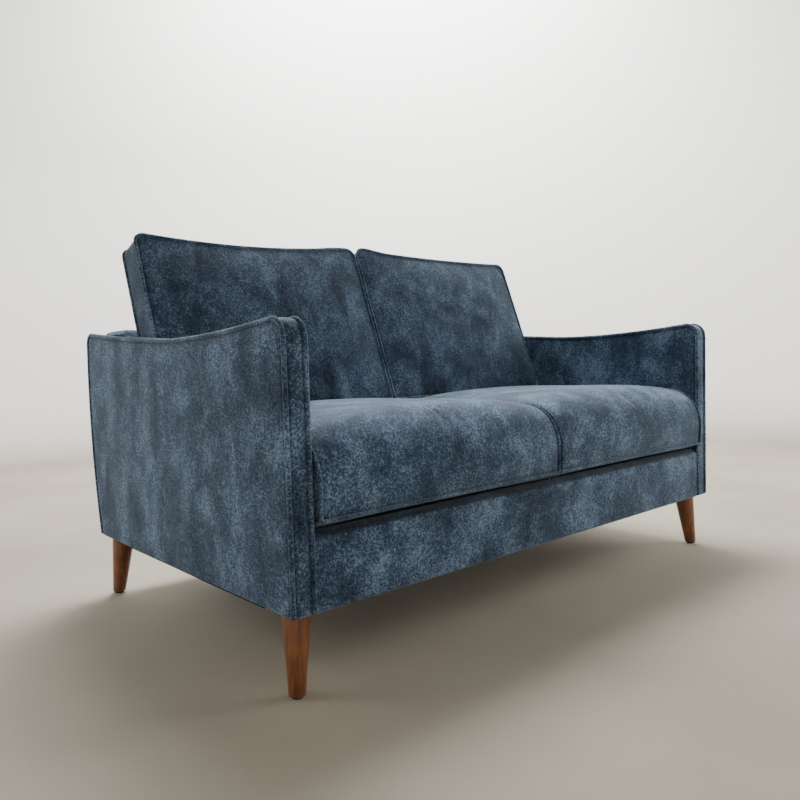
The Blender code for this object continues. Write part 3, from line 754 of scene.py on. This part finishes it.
for side, across in (("left", -1), ("right", 1)):
    low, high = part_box(f"seat_cushion_cover_{side}")
    near_x = low.x + 0.004
    far_x = high.x - 0.004
    bm = rounded_panel(SEAT_SIDE, lambda y, z: (near_x, y, z))
    ends = boxed(bm, Vector((far_x - near_x, 0, 0)))
    seam_y, seam_z, _ = SEAT_SIDE[2]
    front = [Vector((near_x + (far_x - near_x) * k / 170, seam_y, seam_z)) for k in range(171)]
    side_seams = [dense(end, closed=True) for end in ends]
    seams = side_seams + [front]
    mesh = stuffed(
        bm,
        f"seat_cushion_{side}_upholstery",
        seams,
        lambda points, normals: seat_plump(points, normals, near_x, far_x),
        SEAT_GIVE,
        lambda points: seat_room(points, low, high),
    )
    lay_cloth(mesh)
    points = read_points(mesh)
    # Painted shade: the cover is painted darker near its seams and on its underside near the deck,
    # where the cushion's overhang shades it.
    pressed_and_shaded = np.maximum(points[:, 2] - SEAT_BOTTOM - 0.002, 0)
    mark_painted_shade(mesh, np.minimum(seam_distances(points, seams), pressed_and_shaded), SEAM_SHADE)
    body = f"seat_cushion_{side}"
    hidden = (f"seat_cushion_cover_{side}", f"seat_cushion_core_{side}")
    cushion = add_piece(f"seat_cushion_{side}_upholstery", mesh, chenille, body, hidden)

    for place, paths, closed in (("front", [front], False), ("side", side_seams, True)):
        mesh = tube_mesh(f"seat_{place}_piping_{side}", paths, SEAT_PIPING, closed)
        lay_cloth(mesh)
        add_piece(f"seat_{place}_piping_{side}", mesh, chenille, body)

# ---------------------------------------------------------------------------
# Back cushions: a fibre-filled case of two crowned panels joined by a border
# strip, with a piping in both seams. Each leans on the back and stands on the
# seat cushion, and its top edge sags between its corners.
# ---------------------------------------------------------------------------
BACK_LEAN = math.radians(20.3)
BACK_FOOT = (0.115, 0.4712)
BACK_LENGTH = 0.486
BACK_BORDER = 0.084
BACK_PIPING = 0.0040
BACK_CORNER = 0.026
# Painted shade over the whole of each back cushion, which lies in shade.
BACK_CUSHION_SHADE = 0.4
BACK_DEPTH = 0.1232
BACK_FRONT_CROWN = 0.018
BACK_REAR_CROWN = 0.022
BACK_GIVE = 0.012
BACK_ZIP_DEPTH = 0.090
BACK_ZIP_ALONG = 0.042


def leaning(x, depth, along):
    """A place by its depth behind the cushions' front seams and its height up their lean."""
    y = BACK_FOOT[0] + along * math.sin(BACK_LEAN) + depth * math.cos(BACK_LEAN)
    z = BACK_FOOT[1] + along * math.cos(BACK_LEAN) - depth * math.sin(BACK_LEAN)
    return Vector((x, y, z))


up_lean = leaning(0, 0, 1) - leaning(0, 0, 0)
into_lean = leaning(0, 1, 0) - leaning(0, 0, 0)


def up_cushion(points):
    """How far up their lean points are from the foot of the back cushions."""
    return (points - np.array(leaning(0, 0, 0))) @ np.array(up_lean)


def slumped(points, inner_x, outer_x, sag, ear):
    """Let the top edge sag between its corners, and lift the corner by the other cushion."""
    points = np.array([list(point) for point in points])
    width = np.clip((points[:, 0] - outer_x) / (inner_x - outer_x), 0, 1)
    upper = np.clip(up_cushion(points) / BACK_LENGTH, 0, 1) ** 2
    dip = np.sin(math.pi * np.clip(width / 0.86, 0, 1)) ** 0.8
    peak = np.exp(-(((width - 0.95) / 0.07) ** 2))
    shift = -sag * dip - sag * 0.35 * (1 - width) + ear * peak
    return points + np.outer(shift * upper, np.array(up_lean))


def back_plump(points, normals, inner_x, outer_x):
    """How far a back cushion's points stand out: most in the middle of its two panels."""
    width = fullness((points[:, 0] - outer_x) / (inner_x - outer_x))
    height = fullness(up_cushion(points) / BACK_LENGTH)
    facing = normals @ np.array(into_lean)
    front = np.clip(-facing, 0, 1) ** 2
    rear = np.clip(facing, 0, 1) ** 2
    return width * height * (BACK_FRONT_CROWN * front + BACK_REAR_CROWN * rear)


def back_room(points, across):
    """Keep a back cushion between its neighbours, off the back and on the seat."""
    points[:, 0] = across * soft_limit(across * points[:, 0], ARM_INNER + 0.001)
    points[:, 0] = -across * soft_limit(-across * points[:, 0], -0.0012)
    depth = (points - np.array(leaning(0, 0, 0))) @ np.array(into_lean)
    along = up_cushion(points)
    groove = np.exp(-(((along - BACK_ZIP_ALONG) / 0.016) ** 2))
    deepest = BACK_DEPTH + (BACK_ZIP_DEPTH - 0.0019 - BACK_DEPTH) * groove
    points += np.outer(soft_limit(depth, deepest, 0.0006) - depth, np.array(into_lean))
    points += np.outer(-soft_limit(-along, -0.0015) - along, np.array(up_lean))
    return points


for side, across, sag, ear in (("left", -1, 0.017, 0.004), ("right", 1, 0.006, 0.010)):
    low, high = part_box(f"back_cushion_cover_{side}")
    inner_x = across * 0.0055
    outer_x = across * (max(abs(low.x), abs(high.x)) - 0.004)
    corners = (
        (inner_x, 0.004, 0.012),
        (outer_x, 0.004, 0.030),
        (outer_x, BACK_LENGTH, BACK_CORNER),
        (inner_x, BACK_LENGTH, BACK_CORNER),
    )
    bm = rounded_panel(corners, lambda x, along: leaning(x, 0.001, along))
    panels = boxed(bm, into_lean * BACK_BORDER)

    seams = [dense(panel, closed=True) for panel in panels]
    pipings = [
        [Vector(point) for point in slumped(seam, inner_x, outer_x, sag, ear)] for seam in seams
    ]
    mesh = stuffed(
        bm,
        f"back_cushion_{side}_upholstery",
        seams,
        lambda points, normals: back_plump(points, normals, inner_x, outer_x),
        BACK_GIVE,
        lambda points: back_room(slumped(points, inner_x, outer_x, sag, ear), across),
    )
    lay_cloth(mesh)
    # Painted shade: the case is painted darker near its pipings and darker all over.
    mark_painted_shade(mesh, seam_distances(read_points(mesh), pipings), SEAM_SHADE, BACK_CUSHION_SHADE)
    body = f"back_cushion_{side}"
    hidden = (f"back_cushion_cover_{side}", f"back_cushion_core_{side}")
    case = add_piece(f"back_cushion_{side}_upholstery", mesh, chenille, body, hidden)
    mesh = tube_mesh(f"back_piping_{side}", pipings, BACK_PIPING, closed=True)
    lay_cloth(mesh)
    add_piece(f"back_piping_{side}", mesh, chenille, body)

# ---------------------------------------------------------------------------
# Back: timber and hardboard under foam. One cover runs up the inside and over
# the rounded top, and a second closes the rear, blind-stitched at its edges.
# ---------------------------------------------------------------------------
BACK_FACE = 0.1243
INSIDE_LOW, INSIDE_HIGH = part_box("inside_back_cover")
BACK_TOP = INSIDE_HIGH.z
BACK_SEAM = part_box("outside_back_cover")[1].z
BACK_FRONT_CORNER = 0.030
BACK_REAR_CORNER = 0.024
INSIDE_COVER = 0.003
OUTSIDE_COVER = 0.002
BACK_SPAN = ARM_INNER + 0.0125
TUCK_WIDTH = 0.011
TUCK_DEPTH = 0.014
CALM_EDGE = 0.03


def swept(line, columns, wave, seed):
    """A cover that follows a side view from arm to arm. It is slightly uneven, and its ends are
    tucked in behind the arms."""
    bm = bmesh.new()
    bmesh.ops.create_grid(bm, x_segments=columns, y_segments=len(line) - 1, size=0.5)
    for vert in bm.verts:
        row = round((vert.co.y + 0.5) * (len(line) - 1))
        vert.co = (2 * vert.co.x * BACK_SPAN, *line[row])
    bmesh.ops.recalc_face_normals(bm, faces=bm.faces)
    bm.normal_update()
    for vert in bm.verts:
        x, y, z = vert.co
        inward = BACK_SPAN - abs(x)
        calm = min(1, inward / CALM_EDGE)
        uneven = noise.noise(Vector((x * 6, z * 9 + seed, y * 9))) * wave
        tucked = max(0, 1 - inward / TUCK_WIDTH) * TUCK_DEPTH
        vert.co += vert.normal * ((uneven - wave) * calm - tucked)
    return bm


top_front = leaning(0, BACK_FACE, 0)
slope = math.tan(BACK_LEAN)
inside_top_y = top_front.y + (BACK_TOP - top_front.z) * slope
face_height = BACK_TOP - BACK_FRONT_CORNER - INSIDE_LOW.z
back_line = []
for step in range(31):
    z = INSIDE_LOW.z + step / 30 * face_height
    back_line.append((top_front.y + (z - top_front.z) * slope, z))
start = Vector(back_line[-1])
bend = Vector((inside_top_y, BACK_TOP))
finish = Vector((inside_top_y + BACK_FRONT_CORNER, BACK_TOP))
for step in range(1, 9):
    share = step / 8
    point = (1 - share) ** 2 * start + 2 * share * (1 - share) * bend + share**2 * finish
    back_line.append(tuple(point))
rear_y = rear_line(BACK_TOP - BACK_REAR_CORNER)
for step in range(1, 9):
    angle = math.pi / 2 * step / 8
    y = rear_y - BACK_REAR_CORNER * (1 - math.sin(angle))
    z = BACK_TOP - BACK_REAR_CORNER * (1 - math.cos(angle))
    back_line.append((y, z))
back_line += [(rear_line(BACK_SEAM + over), BACK_SEAM + over) for over in (0.009, 0.005, 0.001)]
back_line += [(rear_line(BACK_SEAM) - depth, BACK_SEAM - depth) for depth in (0.003, 0.009)]
bm = swept(back_line, columns=120, wave=0.0009, seed=3)
bmesh.ops.solidify(bm, geom=bm.faces[:], thickness=INSIDE_COVER)
mesh = mesh_from(bm, "inside_back_upholstery")
lay_cloth(mesh)
hidden = ("inside_back_cover", "back_padding")
inside_back = add_piece("inside_back_upholstery", mesh, chenille, "frame", hidden)
subdivided(inside_back)

rear_heights = [UNDERSIDE + step / 40 * (BACK_SEAM - UNDERSIDE) for step in range(1, 40)]
rear_foot = rear_line(UNDERSIDE)
rear_head = rear_line(BACK_SEAM)
rear_path = [(rear_foot - inward, UNDERSIDE - 0.0012) for inward in (0.030, 0.016, 0.008, 0.003)]
rear_path.append((rear_foot, UNDERSIDE + 0.003))
rear_path += [(rear_line(z) - 0.0004, z) for z in rear_heights]
rear_path += [(rear_head - 0.0012, BACK_SEAM - 0.002), (rear_head - 0.005, BACK_SEAM + 0.001)]
bm = swept(rear_path[::-1], columns=130, wave=0.0012, seed=9)
bmesh.ops.solidify(bm, geom=bm.faces[:], thickness=OUTSIDE_COVER)
mesh = mesh_from(bm, "outside_back_upholstery")
lay_cloth(mesh)
outside_back = add_piece(
    "outside_back_upholstery", mesh, chenille, "frame", ("outside_back_cover",)
)
subdivided(outside_back)

# ---------------------------------------------------------------------------
# Seat deck: thin wadding under black platform cloth, sewn in a wide channel
# pattern and stretched over the webbing where the cushions hide it.
# ---------------------------------------------------------------------------
DECK_LOW, DECK_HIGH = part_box("seat_deck")
CHANNEL = 0.118
CHANNEL_DEPTH = 0.0028
QUILT = 0.006

# Platform cloth: a plain-woven polyester lining, dull, with faint crossed threads.
platform, surface, place = new_material("platform_cloth", {"Roughness": 0.85})
thread = {"Vector": place, "Scale": 260.0, "Distortion": 1.5, "Detail": 1.0}
warp = add_node(platform, "TexWave", thread, bands_direction="X").outputs["Fac"]
weft = add_node(platform, "TexWave", thread, bands_direction="Y").outputs["Fac"]
woven = add_node(platform, "Math", {0: warp, 1: weft}, operation="MAXIMUM")
tone = add_node(
    platform,
    "ValToRGB",
    {"Fac": woven.outputs["Value"]},
    stops=((0.2, srgb("#191b1f")), (0.9, srgb("#2c2f35"))),
)
ridged = add_node(
    platform, "Bump", {"Height": woven.outputs["Value"], "Strength": 0.4, "Distance": 0.0003}
)
link(platform, tone.outputs["Color"], surface, "Base Color")
link(platform, ridged.outputs["Normal"], surface, "Normal")

bm = bmesh.new()
bmesh.ops.create_grid(bm, x_segments=150, y_segments=96, size=0.5)
for vert in bm.verts:
    x = 2 * vert.co.x * DECK_HIGH.x
    y = DECK_LOW.y + (vert.co.y + 0.5) * (DECK_HIGH.y - DECK_LOW.y)
    channel = abs(math.sin(math.pi * (y - DECK_LOW.y) / CHANNEL)) ** 0.5
    edge = min(1, (DECK_HIGH.x - abs(x)) / 0.02, (y - DECK_LOW.y) / 0.02 + 0.2)
    ruck = 0.0006 * abs(noise.noise(Vector((x * 9, y * 9, 1))))
    sunk = CHANNEL_DEPTH * (1 - channel * max(0, edge)) + ruck
    vert.co = (x, y, DECK_HIGH.z - 0.0002 - sunk)
bmesh.ops.recalc_face_normals(bm, faces=bm.faces)
bmesh.ops.solidify(bm, geom=bm.faces[:], thickness=QUILT)
mesh = mesh_from(bm, "seat_deck_quilt")
deck = add_piece("seat_deck_quilt", mesh, platform, "frame", ("seat_deck",))

# ---------------------------------------------------------------------------
# Dust cover: black spun-bonded fabric, stapled under the frame round its
# turned edge. It hangs a few millimetres between the staples.
# ---------------------------------------------------------------------------
DUST_LOW, DUST_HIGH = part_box("dust_cover")
STAPLE_PITCH = 0.062
DUST_SAG = 0.0035
DUST_CLOTH = 0.0006

# Spun-bonded polypropylene: black felt with a grid of heat-pressed dimples.
cambric, surface, place = new_material("black_cambric", {"Roughness": 0.9})
dimples = add_node(
    cambric,
    "TexVoronoi",
    {"Vector": place, "Scale": 420.0, "Randomness": 0.1},
    voronoi_dimensions="2D",
)
fibres = add_node(cambric, "TexNoise", {"Vector": place, "Scale": 600.0, "Detail": 3.0})
tone = add_node(
    cambric,
    "ValToRGB",
    {"Fac": fibres.outputs["Fac"]},
    stops=((0.3, srgb("#101011")), (0.7, srgb("#222224"))),
)
pressed_and_shaded = add_node(
    cambric, "Bump", {"Height": dimples.outputs["Distance"], "Strength": 0.4, "Distance": 0.0002}
)
link(cambric, tone.outputs["Color"], surface, "Base Color")
link(cambric, pressed_and_shaded.outputs["Normal"], surface, "Normal")

front_block_low, front_block_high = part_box("leg_block_front_right")
rear_block_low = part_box("leg_block_rear_right")[0]
bm = bmesh.new()
bmesh.ops.create_grid(bm, x_segments=160, y_segments=100, size=0.5)
for vert in bm.verts:
    x = 2 * vert.co.x * DUST_HIGH.x
    y = DUST_LOW.y + (vert.co.y + 0.5) * (DUST_HIGH.y - DUST_LOW.y)
    inward = min(DUST_HIGH.x - abs(x), y - DUST_LOW.y, DUST_HIGH.y - y)
    pucker = math.cos(math.tau * (x if inward == DUST_HIGH.x - abs(x) else y) / STAPLE_PITCH)
    loose = DUST_SAG * (1 - math.exp(-inward / 0.12)) + 0.0005 * pucker * math.exp(-inward / 0.03)
    ruck = 0.0008 * noise.noise(Vector((x * 7, y * 7, 2)))
    vert.co = (x, y, DUST_LOW.z + DUST_CLOTH - loose - ruck)
cut_out = []
for face in bm.faces:
    middle = face.calc_center_median()
    by_the_front = middle.y < front_block_high.y + 0.0003
    by_the_rear = middle.y > rear_block_low.y - 0.0003
    if abs(middle.x) > front_block_low.x - 0.0003 and (by_the_front or by_the_rear):
        cut_out.append(face)
bmesh.ops.delete(bm, geom=cut_out, context="FACES")
bmesh.ops.recalc_face_normals(bm, faces=bm.faces)
bmesh.ops.solidify(bm, geom=bm.faces[:], thickness=DUST_CLOTH)
mesh = mesh_from(bm, "dust_cover_sheet")
add_piece("dust_cover_sheet", mesh, cambric, "frame", ("dust_cover",))

# ---------------------------------------------------------------------------
# Legs: turned beech, tapered to the foot and splayed both ways, stained warm
# brown under satin lacquer. A hanger bolt screws each into a block.
# ---------------------------------------------------------------------------
LEG_TOP_RADIUS = 0.028
LEG_FOOT_RADIUS = 0.0155
LEG_EDGE = 0.0018

# Stained beech: close grain with short dark flecks, darker where the stain pools.
beech, surface, place = new_material(
    "stained_beech",
    {
        "Roughness": 0.42,
        "Coat Weight": 0.25,
        "Coat Roughness": 0.3,
    },
)
drawn = add_node(beech, "Mapping", {"Vector": place, "Scale": (1.0, 1.0, 0.07)})
grain = add_node(
    beech,
    "TexNoise",
    {
        "Vector": drawn.outputs["Vector"],
        "Scale": 210.0,
        "Detail": 5.0,
        "Roughness": 0.6,
        "Distortion": 0.4,
    },
)
cloud = add_node(beech, "TexNoise", {"Vector": place, "Scale": 18.0, "Detail": 3.0})
fleck = add_node(
    beech,
    "TexNoise",
    {"Vector": drawn.outputs["Vector"], "Scale": 900.0, "Detail": 2.0},
)
mixed = add_node(
    beech,
    "Mix",
    {"Factor": 0.35, "A": grain.outputs["Fac"], "B": cloud.outputs["Fac"]},
)
flecked = add_node(
    beech,
    "Math",
    {0: fleck.outputs["Fac"], 1: 0.22, 2: mixed.outputs["Result"]},
    operation="MULTIPLY_ADD",
)
tone = add_node(
    beech,
    "ValToRGB",
    {"Fac": flecked.outputs["Value"]},
    stops=((0.40, srgb("#3b1e0d")), (0.78, srgb("#8b5328")), (0.58, srgb("#683819"))),
)
pores = add_node(
    beech, "Bump", {"Height": fleck.outputs["Fac"], "Strength": 0.15, "Distance": 0.0003}
)
link(beech, tone.outputs["Color"], surface, "Base Color")
link(beech, pores.outputs["Normal"], surface, "Normal")

# Moulded polythene: black and slightly shiny, scuffed where it slides.
polythene, surface, place = new_material("black_polythene", {})
scuff = add_node(polythene, "TexNoise", {"Vector": place, "Scale": 500.0, "Detail": 4.0})
tone = add_node(
    polythene,
    "ValToRGB",
    {"Fac": scuff.outputs["Fac"]},
    stops=((0.4, srgb("#151515")), (0.7, srgb("#2b2b2b"))),
)
dull = add_node(
    polythene, "MapRange", {"Value": scuff.outputs["Fac"], "To Min": 0.4, "To Max": 0.65}
)
link(polythene, tone.outputs["Color"], surface, "Base Color")
link(polythene, dull.outputs["Result"], surface, "Roughness")

# Zinc-plated steel: bright grey with a faint cloudy passivation.
zinc, surface, place = new_material("zinc_plated_steel", {"Metallic": 1.0})
cloud = add_node(zinc, "TexNoise", {"Vector": place, "Scale": 300.0, "Detail": 4.0})
tone = add_node(
    zinc,
    "ValToRGB",
    {"Fac": cloud.outputs["Fac"]},
    stops=((0.35, srgb("#a9adb2")), (0.7, srgb("#cdd0d2"))),
)
dull = add_node(zinc, "MapRange", {"Value": cloud.outputs["Fac"], "To Min": 0.28, "To Max": 0.45})
link(zinc, tone.outputs["Color"], surface, "Base Color")
link(zinc, dull.outputs["Result"], surface, "Roughness")


def repaint(node, material):
    """Give a CAD node its finish."""
    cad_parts[node].data.materials.clear()
    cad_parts[node].data.materials.append(material)


for end in ("front", "rear"):
    for side, across in (("left", -1), ("right", 1)):
        name = f"leg_{end}_{side}"
        low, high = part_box(name)
        glide_low, glide_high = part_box(f"foot_glide_{end}_{side}")
        bolt_low, bolt_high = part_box(f"hanger_bolt_{end}_{side}")
        foot = (glide_low + glide_high) / 2
        head = (bolt_low + bolt_high) / 2
        bm = bmesh.new()
        bmesh.ops.create_cone(
            bm,
            cap_ends=True,
            segments=64,
            radius1=LEG_FOOT_RADIUS,
            radius2=LEG_TOP_RADIUS,
            depth=high.z - low.z,
        )
        rims = [e for e in bm.edges if abs(e.verts[0].co.z - e.verts[1].co.z) < 1e-6]
        bmesh.ops.bevel(
            bm, geom=rims, offset=LEG_EDGE, segments=4, profile=0.5, affect="EDGES", material=-1
        )
        for vert in bm.verts:
            share = vert.co.z / (high.z - low.z) + 0.5
            middle = foot.lerp(head, share)
            vert.co += Vector((middle.x, middle.y, (low.z + high.z) / 2))
        mesh = mesh_from(bm, f"turned_leg_{end}_{side}")
        add_piece(f"turned_leg_{end}_{side}", mesh, beech, "frame", (name,))
        mesh.set_sharp_from_angle(angle=math.radians(40))
        repaint(f"foot_glide_{end}_{side}", polythene)
        repaint(f"hanger_bolt_{end}_{side}", zinc)

# ---------------------------------------------------------------------------
# Frame: planed pine rails and posts, glued and stapled, with a hardboard back
# panel and elastic webbing across the seat. The upholstery hides all of it.
# ---------------------------------------------------------------------------


def pine(name, along):
    """Planed pine with its growth rings drawn out along one axis."""
    material, surface, place = new_material(name, {"Roughness": 0.7})
    scale = [1.0, 1.0, 1.0]
    scale[along] = 0.05
    drawn = add_node(material, "Mapping", {"Vector": place, "Scale": scale})
    rings = add_node(
        material,
        "TexNoise",
        {"Vector": drawn.outputs["Vector"], "Scale": 90.0, "Detail": 4.0, "Distortion": 0.8},
    )
    tone = add_node(
        material,
        "ValToRGB",
        {"Fac": rings.outputs["Fac"]},
        stops=((0.35, srgb("#b98a52")), (0.7, srgb("#e2c28d"))),
    )
    rough = add_node(
        material, "Bump", {"Height": rings.outputs["Fac"], "Strength": 0.2, "Distance": 0.0004}
    )
    link(material, tone.outputs["Color"], surface, "Base Color")
    link(material, rough.outputs["Normal"], surface, "Normal")
    return material


# Pine: pale yellow with soft darker rings along each board.
pine_across = pine("pine_across", 0)
pine_back = pine("pine_front_to_back", 1)
pine_upright = pine("pine_upright", 2)

# Hardboard: brown pressed fibre with a smooth, mottled face.
hardboard, surface, place = new_material("hardboard", {"Roughness": 0.6})
fibres = add_node(hardboard, "TexNoise", {"Vector": place, "Scale": 350.0, "Detail": 6.0})
tone = add_node(
    hardboard,
    "ValToRGB",
    {"Fac": fibres.outputs["Fac"]},
    stops=((0.35, srgb("#5d3f28")), (0.7, srgb("#8a6545"))),
)
link(hardboard, tone.outputs["Color"], surface, "Base Color")

# Elastic webbing: black polypropylene over rubber, ribbed across every 3 mm.
RIB = 0.003
webbing, surface, place = new_material("elastic_webbing", {"Roughness": 0.8})
ribs = add_node(
    webbing,
    "TexWave",
    {"Vector": place, "Scale": math.tau / 20 / RIB, "Distortion": 0.5},
    bands_direction="Y",
)
tone = add_node(
    webbing,
    "ValToRGB",
    {"Fac": ribs.outputs["Fac"]},
    stops=((0.2, srgb("#1c1c1e")), (0.8, srgb("#3c3d40"))),
)
ridged = add_node(
    webbing, "Bump", {"Height": ribs.outputs["Fac"], "Strength": 0.5, "Distance": 0.0005}
)
link(webbing, tone.outputs["Color"], surface, "Base Color")
link(webbing, ridged.outputs["Normal"], surface, "Normal")

for node in ("front_rail", "rear_rail", "back_top_rail", "back_lower_rail"):
    repaint(node, pine_across)
repaint("centre_rail", pine_back)
repaint("back_panel", hardboard)
for side in ("left", "right"):
    for node in (
        "side_rail",
        "arm_bottom_rail",
        "arm_top_rail",
        "leg_block_front",
        "leg_block_rear",
    ):
        repaint(f"{node}_{side}", pine_back)
    for node in ("arm_front_post", "arm_rear_post"):
        repaint(f"{node}_{side}", pine_upright)
    for number in (1, 2, 3):
        repaint(f"seat_strap_{side}_{number}", webbing)

# ---------------------------------------------------------------------------
# Zips: a navy nylon coil on woven tape in the hidden rear face of each
# cushion cover, with a small plated slider.
# ---------------------------------------------------------------------------
ZIP_LENGTH = 0.500
TOOTH_PITCH = 0.0016
TAPE_WIDTH = 0.018
TAPE_THICKNESS = 0.0006

# Zip tape: herringbone polyester, navy, with its ribs drawn a lighter navy as a slight painted
# shine.
tape, surface, place = new_material("zip_tape", {"Roughness": 0.7})
ribs = add_node(
    tape,
    "TexWave",
    {"Vector": place, "Scale": 200.0, "Distortion": 0.5},
    bands_direction="DIAGONAL",
)
tone = add_node(
    tape,
    "ValToRGB",
    {"Fac": ribs.outputs["Fac"]},
    stops=((0.2, srgb("#141c28")), (0.8, srgb("#27364a"))),
)
link(tape, tone.outputs["Color"], surface, "Base Color")

# Nylon coil: smooth, dark and slightly glossy.
nylon, surface, place = new_material("nylon_coil", {"Roughness": 0.35})
worn = add_node(nylon, "TexNoise", {"Vector": place, "Scale": 800.0, "Detail": 2.0})
tone = add_node(
    nylon,
    "ValToRGB",
    {"Fac": worn.outputs["Fac"]},
    stops=((0.3, srgb("#10161f")), (0.7, srgb("#222e3d"))),
)
link(nylon, tone.outputs["Color"], surface, "Base Color")


def eased_block(size, segments, turned, middle):
    """A small block with its edges eased, turned to lie in a cushion's rear face."""
    bm = bmesh.new()
    bmesh.ops.create_cube(bm, size=1)
    bmesh.ops.scale(bm, vec=size, verts=bm.verts)
    bmesh.ops.bevel(
        bm,
        geom=bm.edges[:],
        offset=0.0002,
        segments=segments,
        profile=0.5,
        affect="EDGES",
        material=-1,
    )
    bmesh.ops.transform(bm, matrix=turned, verts=bm.verts)
    bmesh.ops.translate(bm, vec=middle, verts=bm.verts)
    return bm


for kind, out, up in (
    ("seat", Vector((0, 1, 0)), Vector((0, 0, 1))),
    ("back", into_lean, up_lean),
):
    for side in ("left", "right"):
        low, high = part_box(f"{kind}_cushion_cover_{side}")
        middle_x = (low.x + high.x) / 2
        if kind == "seat":
            middle = Vector((middle_x, SEAT_ZIP_Y, SEAT_ZIP_Z))
        else:
            middle = leaning(middle_x, BACK_ZIP_DEPTH, BACK_ZIP_ALONG)
        body = f"{kind}_cushion_{side}"
        turned = Matrix((Vector((1, 0, 0)), -out, up)).transposed().to_4x4()
        size = (ZIP_LENGTH, TAPE_THICKNESS, TAPE_WIDTH)
        bm = eased_block(size, 2, turned, middle - out * 0.0013)
        mesh = mesh_from(bm, f"{kind}_zip_tape_{side}")
        add_piece(f"{kind}_zip_tape_{side}", mesh, tape, body)
        start = middle - out * 0.0004 - Vector(((ZIP_LENGTH - TOOTH_PITCH) / 2, 0, 0))
        bm = eased_block((TOOTH_PITCH * 0.6, 0.0012, 0.0052), 1, turned, start)
        mesh = mesh_from(bm, f"{kind}_zip_coil_{side}")
        coil = add_piece(f"{kind}_zip_coil_{side}", mesh, nylon, body)
        row = coil.modifiers.new("row", "ARRAY")
        row.count = int(ZIP_LENGTH / TOOTH_PITCH)
        row.use_relative_offset = False
        row.use_constant_offset = True
        row.constant_offset_displace = (TOOTH_PITCH, 0, 0)
        repaint(f"{kind}_zip_slider_{side}", zinc)

low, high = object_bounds()
